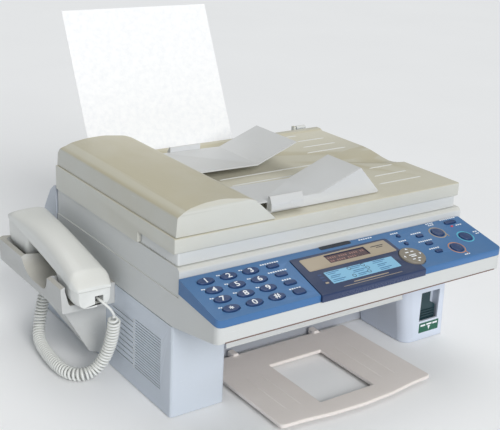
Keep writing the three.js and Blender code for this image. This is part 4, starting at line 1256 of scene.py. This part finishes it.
@dataclass
class Keypad:
    """All the keys."""

    numerals: tuple = ("1", "2", "3", "4", "5", "6", "7", "8", "9", "star", "0", "hash")
    pills: tuple = ("redial_key", "mute_key", "flash_key", "monitor_key", "quick_scan_key", "resolution_key",
                    "contrast_key", "mode_key")
    rounds: tuple = ("help_key", "menu_key", "copy_key", "start_key", "stop_key")

    def build(self) -> None:
        """Makes every key."""
        signs = {"star": "*", "hash": "#"}
        for name in self.numerals:
            Key(f"key_{name}", KeyShape.OVAL, signs.get(name, name)).build()
        for name in self.pills:
            Key(name, KeyShape.PILL).build()
        for name in self.rounds:
            Key(name, KeyShape.ROUND).build()
        Key("navigator_key", KeyShape.DIAL, finish=Finish.DIAL).build()
        self._dial_marks()

    @staticmethod
    def _dial_marks() -> None:
        """Four arrowheads and short bars on the dial, light on tan."""
        low, high = machine_box("navigator_key")
        centre = ((low + high) / 2)[:2]
        marks = Surface()
        for turn in range(4):
            angle = turn * math.pi / 2
            across = np.array([math.cos(angle), math.sin(angle)])
            side = np.array([-across[1], across[0]])
            tip = centre + across * 13.2
            outline = np.array([tip, tip - across * 2.6 + side * 2.0, tip - across * 2.6 - side * 2.0])
            slab(marks, outline, 2.85, 3.0, PLANE.points)
        for x, y, half in ((-3.5, 6.0, 2.6), (4.2, 6.0, 2.2), (0, 0.4, 5.2), (0, -2.4, 4.0),
                           (-4, -7.2, 2.2), (4, -7.2, 2.2)):
            slab(marks, superellipse(centre + (x, y), (half, 0.75), 6, 20), 2.85, 3.0, PLANE.points)
        dress(marks.build("navigator_marks"), Finish.INK_WHITE, "navigator_key")


def plates(name: str, spots: Iterable, low: float, high: float,
           finish: Finish, power: float = 6.0) -> None:
    """Adds one piece of small flat prints on the panel.

    Args:
        name: the piece's name.
        spots: (x, y, half width, half height) of each print, in millimetres.
        low: the height of their undersides over the panel's plane.
        high: the height of their faces.
        finish: their finish.
        power: the outline's power; 2 is an oval and 6 nearly a rectangle.
    """
    surface = Surface()
    for x, y, half_x, half_y in spots:
        slab(surface, superellipse((x, y), (half_x, half_y), power, 20), low, high, PLANE.points)
    dress(surface.build(name), finish, "upper_unit")


@dataclass
class ControlPanel:
    """The blue wedge with the navy display in it, and everything printed or set into both."""

    bezel: tuple = ((139.7, -48.9), (266.4, -48.2), (264.8, -25.7), (140.6, -27.6))
    card: tuple = ((151.9, -75.2), (249.7, -74.3), (250.6, -55.1), (153.2, -55.0))

    def build(self) -> None:
        """Makes the wedge, the display and the prints."""
        dress(softened("control_panel", 0.7, 3, 40), Finish.PANEL, "upper_unit")
        dress(softened("display_panel", 0.6, 3, 40), Finish.NAVY, "upper_unit")
        self._bezel()
        self._display()
        self._card()
        self._rings()
        self._labels()

    def _bezel(self) -> None:
        """A tan frame round the display window: a rounded outline joined to the window's outline."""
        outer = rounded_polygon(self.bezel, 2.2, 8)
        inner = rounded_polygon([(173.2, -43.3), (231.3, -43.3), (231.3, -28.7), (173.2, -28.7)], 1.2, 8)
        rise = DISPLAY_RISE
        rings = [(outer, rise - 0.3), (outer, rise + 0.35),
                 (outer * 0.995 + outer.mean(0) * 0.005, rise + 0.55),
                 (inner * 1.004 - inner.mean(0) * 0.004, rise + 0.55),
                 (inner, rise + 0.3), (inner, rise - 0.6)]
        stack = np.stack([PLANE.points(np.column_stack([ring, np.full(len(ring), h)])) for ring, h in rings])
        dress(Surface().loft(stack, ends_meet=True).build("display_bezel"), Finish.BEZEL,
              "upper_unit")
        plates("bezel_print", [(248, -32.8, 9.5, 0.6), (250, -35.6, 5, 0.5)], rise + 0.5, rise + 0.62,
               Finish.INK_DARK)

    def _display(self) -> None:
        """The dark cell with two rows of dot characters under the clear window."""
        dress_node("lcd_window", Finish.LCD)
        spots = []
        for row, count in ((-33.4, 17), (-39.0, 12)):
            spots.extend((177.6 + i * 3.1, row, 1.0, 1.45) for i in range(count) if (i * 7 + int(row)) % 5)
        plates("display_characters", spots, 0.38, 0.46, Finish.LCD_DOTS, 4)

    def _card(self) -> None:
        """The pale blue station card in its clear pocket, with ruled lines and empty name boxes."""
        rise = DISPLAY_RISE
        surface = Surface()
        slab(surface, rounded_polygon(self.card, 1.0), rise - 0.2, rise + 0.2, PLANE.points, 0.1)
        dress(surface.build("station_card"), Finish.CARD, "upper_unit")
        spots = []
        for row in range(3):
            y = -58.6 - row * 6.4
            spots.extend((164 + column * 33.0, y + 1.6, 9.0 - 2 * ((row + column) % 2), 0.55)
                         for column in range(3))
            spots.extend((161 + column * 33.0, y - 1.0, 5.5 + (row + column) % 3, 0.45)
                         for column in range(3))
        plates("station_card_lines", spots, rise + 0.15, rise + 0.26, Finish.CARD_INK)
        circles = Surface()
        for x, y in ((186.5, -58.0), (184.0, -70.8), (206.5, -57.6), (209.0, -63.4), (206.0, -69.8)):
            outer = superellipse((x, y), (2.5, 2.5), 2, 28)
            inner = superellipse((x, y), (1.9, 1.9), 2, 28)
            rings = [np.column_stack([ring, np.full(28, h)]) for ring, h in (
                (outer, rise + .1), (outer, rise + .28), (inner, rise + .28), (inner, rise + .1))]
            circles.loft(np.stack([PLANE.points(ring) for ring in rings]), ends_meet=True)
        dress(circles.build("station_card_rings"), Finish.INK_DARK, "upper_unit")
        plates("station_card_index",
               [(146.5, -57.2, 2.6, 1.2), (146.2, -62.0, 2.6, 1.2), (145.8, -66.8, 2.6, 1.2)],
               rise - 0.1, rise + 0.12, Finish.KEY)
        plates("station_card_index_lamp", [(145.8, -71.6, 2.2, 1.2)], rise - 0.1, rise + 0.14,
               Finish.BEZEL)
        plates("display_foot_lines", [(201, -79.6, 25, 0.7), (201, -83.2, 42, 0.35)], rise - 0.1, rise + 0.1,
               Finish.BEZEL)

    def _rings(self) -> None:
        """Coloured rings round the copy, start and stop keys, each an annulus, and their short ticks."""
        for node, finish, tick in (("copy_key", Finish.RING_TAN, -0.6), ("start_key", Finish.RING_CYAN, 0.7),
                                   ("stop_key", Finish.RING_ORANGE, -1.1)):
            low, high = machine_box(node)
            centre = ((low + high) / 2)[:2] + (0, -0.15)
            surface = Surface()
            rings = []
            for radius, height in ((10.9, 0.0), (10.7, 0.32), (9.9, 0.36), (9.5, 0.0)):
                outline = superellipse(centre, (radius, radius), 2, 72)
                rings.append(PLANE.points(np.column_stack([outline, np.full(72, height)])))
            surface.loft(np.stack(rings), ends_meet=True)
            start = centre + 10.6 * np.array([math.cos(tick), math.sin(tick)])
            slab(surface, superellipse(start + (0.4, -2.4), (0.55, 2.6), 4, 16), 0.0, 0.33, PLANE.points)
            dress(surface.build(f"{node}_ring"), finish, "upper_unit")
        plates("mode_lamp", [(374.8, -28.0, 1.9, 1.1)], -0.1, 0.55, Finish.LAMP_RED, 2)

    def _labels(self) -> None:
        """White strokes that stand where printed words would, and the blank dark name plate."""
        spots = []
        for i in range(12):
            if i in (0, 10, 11):
                continue
            x, y = 23.8 + 28 * (i % 3) - 9.8, -24.6 - 15.9 * (i // 3) + 4.6
            spots.extend([(x - 1.4, y + 0.5, 1.0, 0.75), (x + 1.0, y + 0.1, 1.0, 0.75)])
        for i, (x, half) in enumerate(((107.6, 12.6), (107.6, 12.8), (107.7, 6.2), (108.1, 8.8))):
            y = (-18.9, -34.3, -50.1, -66.3)[i]
            step = 3.1
            count = int(2 * half / step)
            spots.extend((x - half + step * (k + 0.5), y, step * 0.36, 0.95) for k in range(count))
        for x0, x1, y in ((283.2, 295.5, -17.2), (282.5, 294.5, -33.2),
                          (308.3, 324.9, -25.6), (305.6, 327.8, -42.0),
                          (307.8, 324.1, -57.9), (343.0, 356.0, -14.0),
                          (344.5, 354.0, -17.4), (368.2, 395.0, -12.6),
                          (381.2, 391.5, -27.6), (391.5, 399.0, -46.5),
                          (392.5, 399.0, -50.5), (343.4, 352.5, -80.8),
                          (236.5, 257.2, -14.7)):
            count = max(2, int((x1 - x0) / 3.0))
            step = (x1 - x0) / count
            spots.extend((x0 + step * (k + 0.5), y, step * 0.36, 0.9) for k in range(count))
        plates("panel_print_strokes", spots, -0.05, 0.1, Finish.INK_WHITE, 5)
        plates("blank_name_plate", [(202.5, -14.3, 22.5, 3.0)], -0.1, 0.22,
               Finish.INK_DARK, 8)


# ------------------------------------------------------------------ upper unit
@dataclass
class UpperUnit:
    """The casing under the panel and the scanner on it."""

    def build(self) -> None:
        """Dresses the casing and the scanner, and adds a painted shadow strip under the casing's lip and the
        carriage lamp.
        """
        dress(softened("upper_casing", 1.1, 4), Finish.WHITE, "upper_unit")
        dress(softened("scanner_base", 0.9, 3), Finish.WHITE, "upper_unit")
        dress_node("platen_glass", Finish.GLASS)
        dress(softened("scan_carriage", 0.8, 2), Finish.DARK, "scan_carriage")
        self._lip_shadow_strip()
        self._carriage_lamp()

    def _lip_shadow_strip(self) -> None:
        """A brown strip painted along the casing's lower lip for the shadow under it."""
        # painted shadow: a thin brown plate on the lip's front face stands for the shade under it
        strip = Surface()
        outline = rounded_polygon([(8.5, 126.9), (392.5, 126.9), (392.5, 128.3), (8.5, 128.3)], 0.5)
        slab(strip, outline, 85.9, 86.08, lambda p: place(np.column_stack([p[:, 0], -p[:, 2], p[:, 1]])))
        dress(strip.build("casing_lip_painted_shadow"), Finish.SEAM, "upper_unit")

    @staticmethod
    def _carriage_lamp() -> None:
        """The lamp tube in the scan carriage: a round bar with brass end caps."""
        low, high = machine_box("scan_carriage")
        y = np.linspace(low[1] + 14, high[1] - 14, 6)
        path = np.column_stack([np.full(6, low[0] + 20.0), y, np.full(6, high[2] - 1.6)])
        tube = Surface().loft(place(swept(path, superellipse((0, 0), (1.3, 1.3), 2, 20),
                                          (1, 0, 0), (0, 0, 1))))
        dress(tube.build("carriage_lamp"), Finish.INK_WHITE, "scan_carriage")
        caps = Surface()
        for end in (low[1] + 13.5, high[1] - 16.5):
            path = np.column_stack([np.full(3, low[0] + 20.0), end + np.array([0, 1.5, 3.0]),
                                    np.full(3, high[2] - 1.6)])
            caps.loft(place(swept(path, superellipse((0, 0), (1.5, 1.5), 2, 20), (1, 0, 0), (0, 0, 1))))
        dress(caps.build("carriage_lamp_caps"), Finish.BRASS, "scan_carriage")


@dataclass
class DocumentLid:
    """The lid over the platen, with its ribs and its white backing."""

    ribs: tuple = (
        (309, 379, 36.0), (325, 379, 62.5), (341, 381, 90.5), (145, 238, 111.0), (144, 298, 136.0),
        (312, 378, 181.0), (324, 380, 205.0), (334, 381, 231.0), (331, 352, 256.0))

    def build(self) -> None:
        """Dresses the lid and sweeps its ribs."""
        dress(softened("document_lid", 1.2, 4), Finish.LID, "document_lid")
        dress(softened("lid_backing", 0.6, 2), Finish.INK_WHITE, "document_lid")
        surface = Surface()
        section = superellipse((0, 0), (0.9, 0.9), 2, 16)
        for x0, x1, y in self.ribs:
            x = np.array([x0, x0 + 2, x0 + 6, x1 - 6, x1 - 2, x1], float)
            path = np.column_stack([x, np.full(6, y), np.full(6, 210.0)])
            rings = swept(path, section, (0, 1, 0), (0, 0, 1))
            scale = np.array([0.05, 0.7, 1, 1, 0.7, 0.05])[:, None]
            rings[:, :, 1] = y + (rings[:, :, 1] - y) * scale
            rings[:, :, 2] = 210 + (rings[:, :, 2] - 210) * scale
            surface.loft(place(rings))
        dress(surface.build("lid_ribs"), Finish.WHITE, "document_lid")


@dataclass
class DocumentFeeder:
    """The feeder's hump, its roller and the two document guides."""

    def build(self) -> None:
        """Dresses the hump, the roller and the guides, and marks the guides."""
        dress(softened("adf_cover", 2.0, 5, 25), Finish.LID, "adf_cover")
        dress_node("adf_roller", Finish.RUBBER)
        for side in ("front", "rear"):
            node = f"document_guide_{side}"
            dress(softened(node, 0.28, 2), Finish.GUIDE, node)
        marks = Surface()
        tab = lambda p: place(np.column_stack([p[:, 0], 12.9 - p[:, 2] - 7.6, p[:, 1]]))
        slab(marks, np.array([(150.0, 220.6), (154.6, 220.6), (152.3, 224.6)]), 0.0, 0.18, tab)
        dress(marks.build("guide_size_mark"), Finish.GUIDE, "document_guide_front")


# ------------------------------------------------------------------ back and inside
@dataclass
class RearPanel:
    """The mains inlet, the two line sockets and the screws in the rear housing."""

    wall: float = 332.0

    def build(self) -> None:
        """Makes the sockets and the screws."""
        back = lambda p: place(np.column_stack([p[:, 0], self.wall + p[:, 2], p[:, 1]]))
        self._socket(back, "mains_inlet", (367, 35), (14.6, 10.6), (11.5, 7.6), -10.0, Finish.DARK)
        for name, x in (("line_socket_shell_left", 42), ("line_socket_shell_right", 62)):
            self._socket(back, name, (x, 35.5), (5.8, 5.3), (4.8, 4.3), -9.0, Finish.DARK)
        pins = Surface()
        for x, z in ((360.5, 33.6), (367.0, 38.2), (373.5, 33.6)):
            slab(pins, superellipse((x, z), (0.9, 2.2), 6, 16), -9.6, -1.5, back, 0.4)
        for x in (42, 62):
            for i in range(4):
                slab(pins, superellipse((x - 1.8 + i * 1.2, 38.0), (0.25, 1.0), 6, 10), -8.6, -2.0, back, 0.1)
        dress(pins.build("socket_contacts"), Finish.BRASS, "base")
        screws = Surface()
        for x, z in ((14, 14), (393, 14), (14, 84), (393, 84), (204, 14)):
            slab(screws, superellipse((x, z), (3.6, 3.6), 2, 28), 2.6, 4.1, back, 0.8)
        dress(screws.build("rear_screws"), Finish.STEEL, "base")
        # painted shade: thin dark crosses laid on the screw heads stand for the shade in their cross recesses
        cross_shade = Surface()
        for x, z in ((14, 14), (393, 14), (14, 84), (393, 84), (204, 14)):
            slab(cross_shade, superellipse((x, z), (2.2, 0.35), 6, 12), 4.0, 4.18, back)
            slab(cross_shade, superellipse((x, z), (0.35, 2.2), 6, 12), 4.0, 4.18, back)
        dress(cross_shade.build("rear_screw_cross_shade"), Finish.DARK, "base")
        self._vents(back)

    def _socket(self, back: Mapper, name: str, centre: tuple, outer: tuple, inner: tuple, depth: float,
                finish: Finish) -> None:
        """A cup with a flange: rings that go over the flange, down the inside and close the bottom."""
        rings = []
        for half, level in ((outer, depth), (outer, 3.4), (inner, 3.4), (inner, depth + 1.2)):
            ring = superellipse(centre, half, 7, 40)
            rings.append(back(np.column_stack([ring, np.full(40, level)])))
        surface = Surface()
        surface.loft(np.stack(rings))
        dress(surface.build(name), finish, "base")

    def _vents(self, back: Mapper) -> None:
        """Two rows of raised vent bars across the rear housing."""
        bars = Surface()
        for column in range(24):
            slab(bars, superellipse((112 + column * 8.0, 50.0), (1.6, 17), 5, 20), 2.8, 3.7, back, 0.4)
        dress(bars.build("rear_vent_bars"), Finish.SIDE, "base")


@dataclass
class Internals:
    """What shows when the upper unit is open."""

    def build(self) -> None:
        """Dresses the cartridge, the rollers, the board and the power supply."""
        dress(softened("process_cartridge", 1.0, 3), Finish.DARK, "base")
        dress_node("photosensitive_drum", Finish.DRUM)
        dress_node("heat_roller", Finish.STEEL)
        dress_node("pickup_roller", Finish.RUBBER)
        dress_node("main_board", Finish.BOARD)
        dress_node("power_supply", Finish.STEEL)
        ribs = Surface()
        for x in range(100, 310, 14):
            low = np.array([(x, 88), (x + 2.4, 88), (x + 2.4, 98), (x, 98)], float)
            slab(ribs, rounded_polygon(low, 0.6, 3), 159.6, 161.6, place, 0.4)
            high = np.array([(x, 130), (x + 2.4, 130), (x + 2.4, 142), (x, 142)], float)
            slab(ribs, rounded_polygon(high, 0.6, 3), 159.0, 160.9, place, 0.4)
        dress(ribs.build("cartridge_ribs"), Finish.DARK, "base")
        grip = Surface()
        slab(grip, rounded_polygon([(172, 106), (228, 106), (228, 120), (172, 120)], 2.0),
             169.9, 170.4, place, 0.2)
        dress(grip.build("cartridge_grip_pad"), Finish.TEAL, "base")


def main() -> None:
    """Builds the machine's sub-assemblies in order and logs each one as it is made."""
    logging.basicConfig(level=logging.INFO, format="%(name)s: %(message)s")
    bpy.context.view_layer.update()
    for part in (Studio(), HandsetCord(), Handset(), Cradle(), LowerBody(), OutputTray(), PaperFeed(),
                 UpperUnit(),
                 ControlPanel(), Keypad(), DocumentLid(), DocumentFeeder(), RearPanel(), Internals()):
        part.build()
        log.info("%s is made", type(part).__name__)


if __name__ == "__main__":
    main()
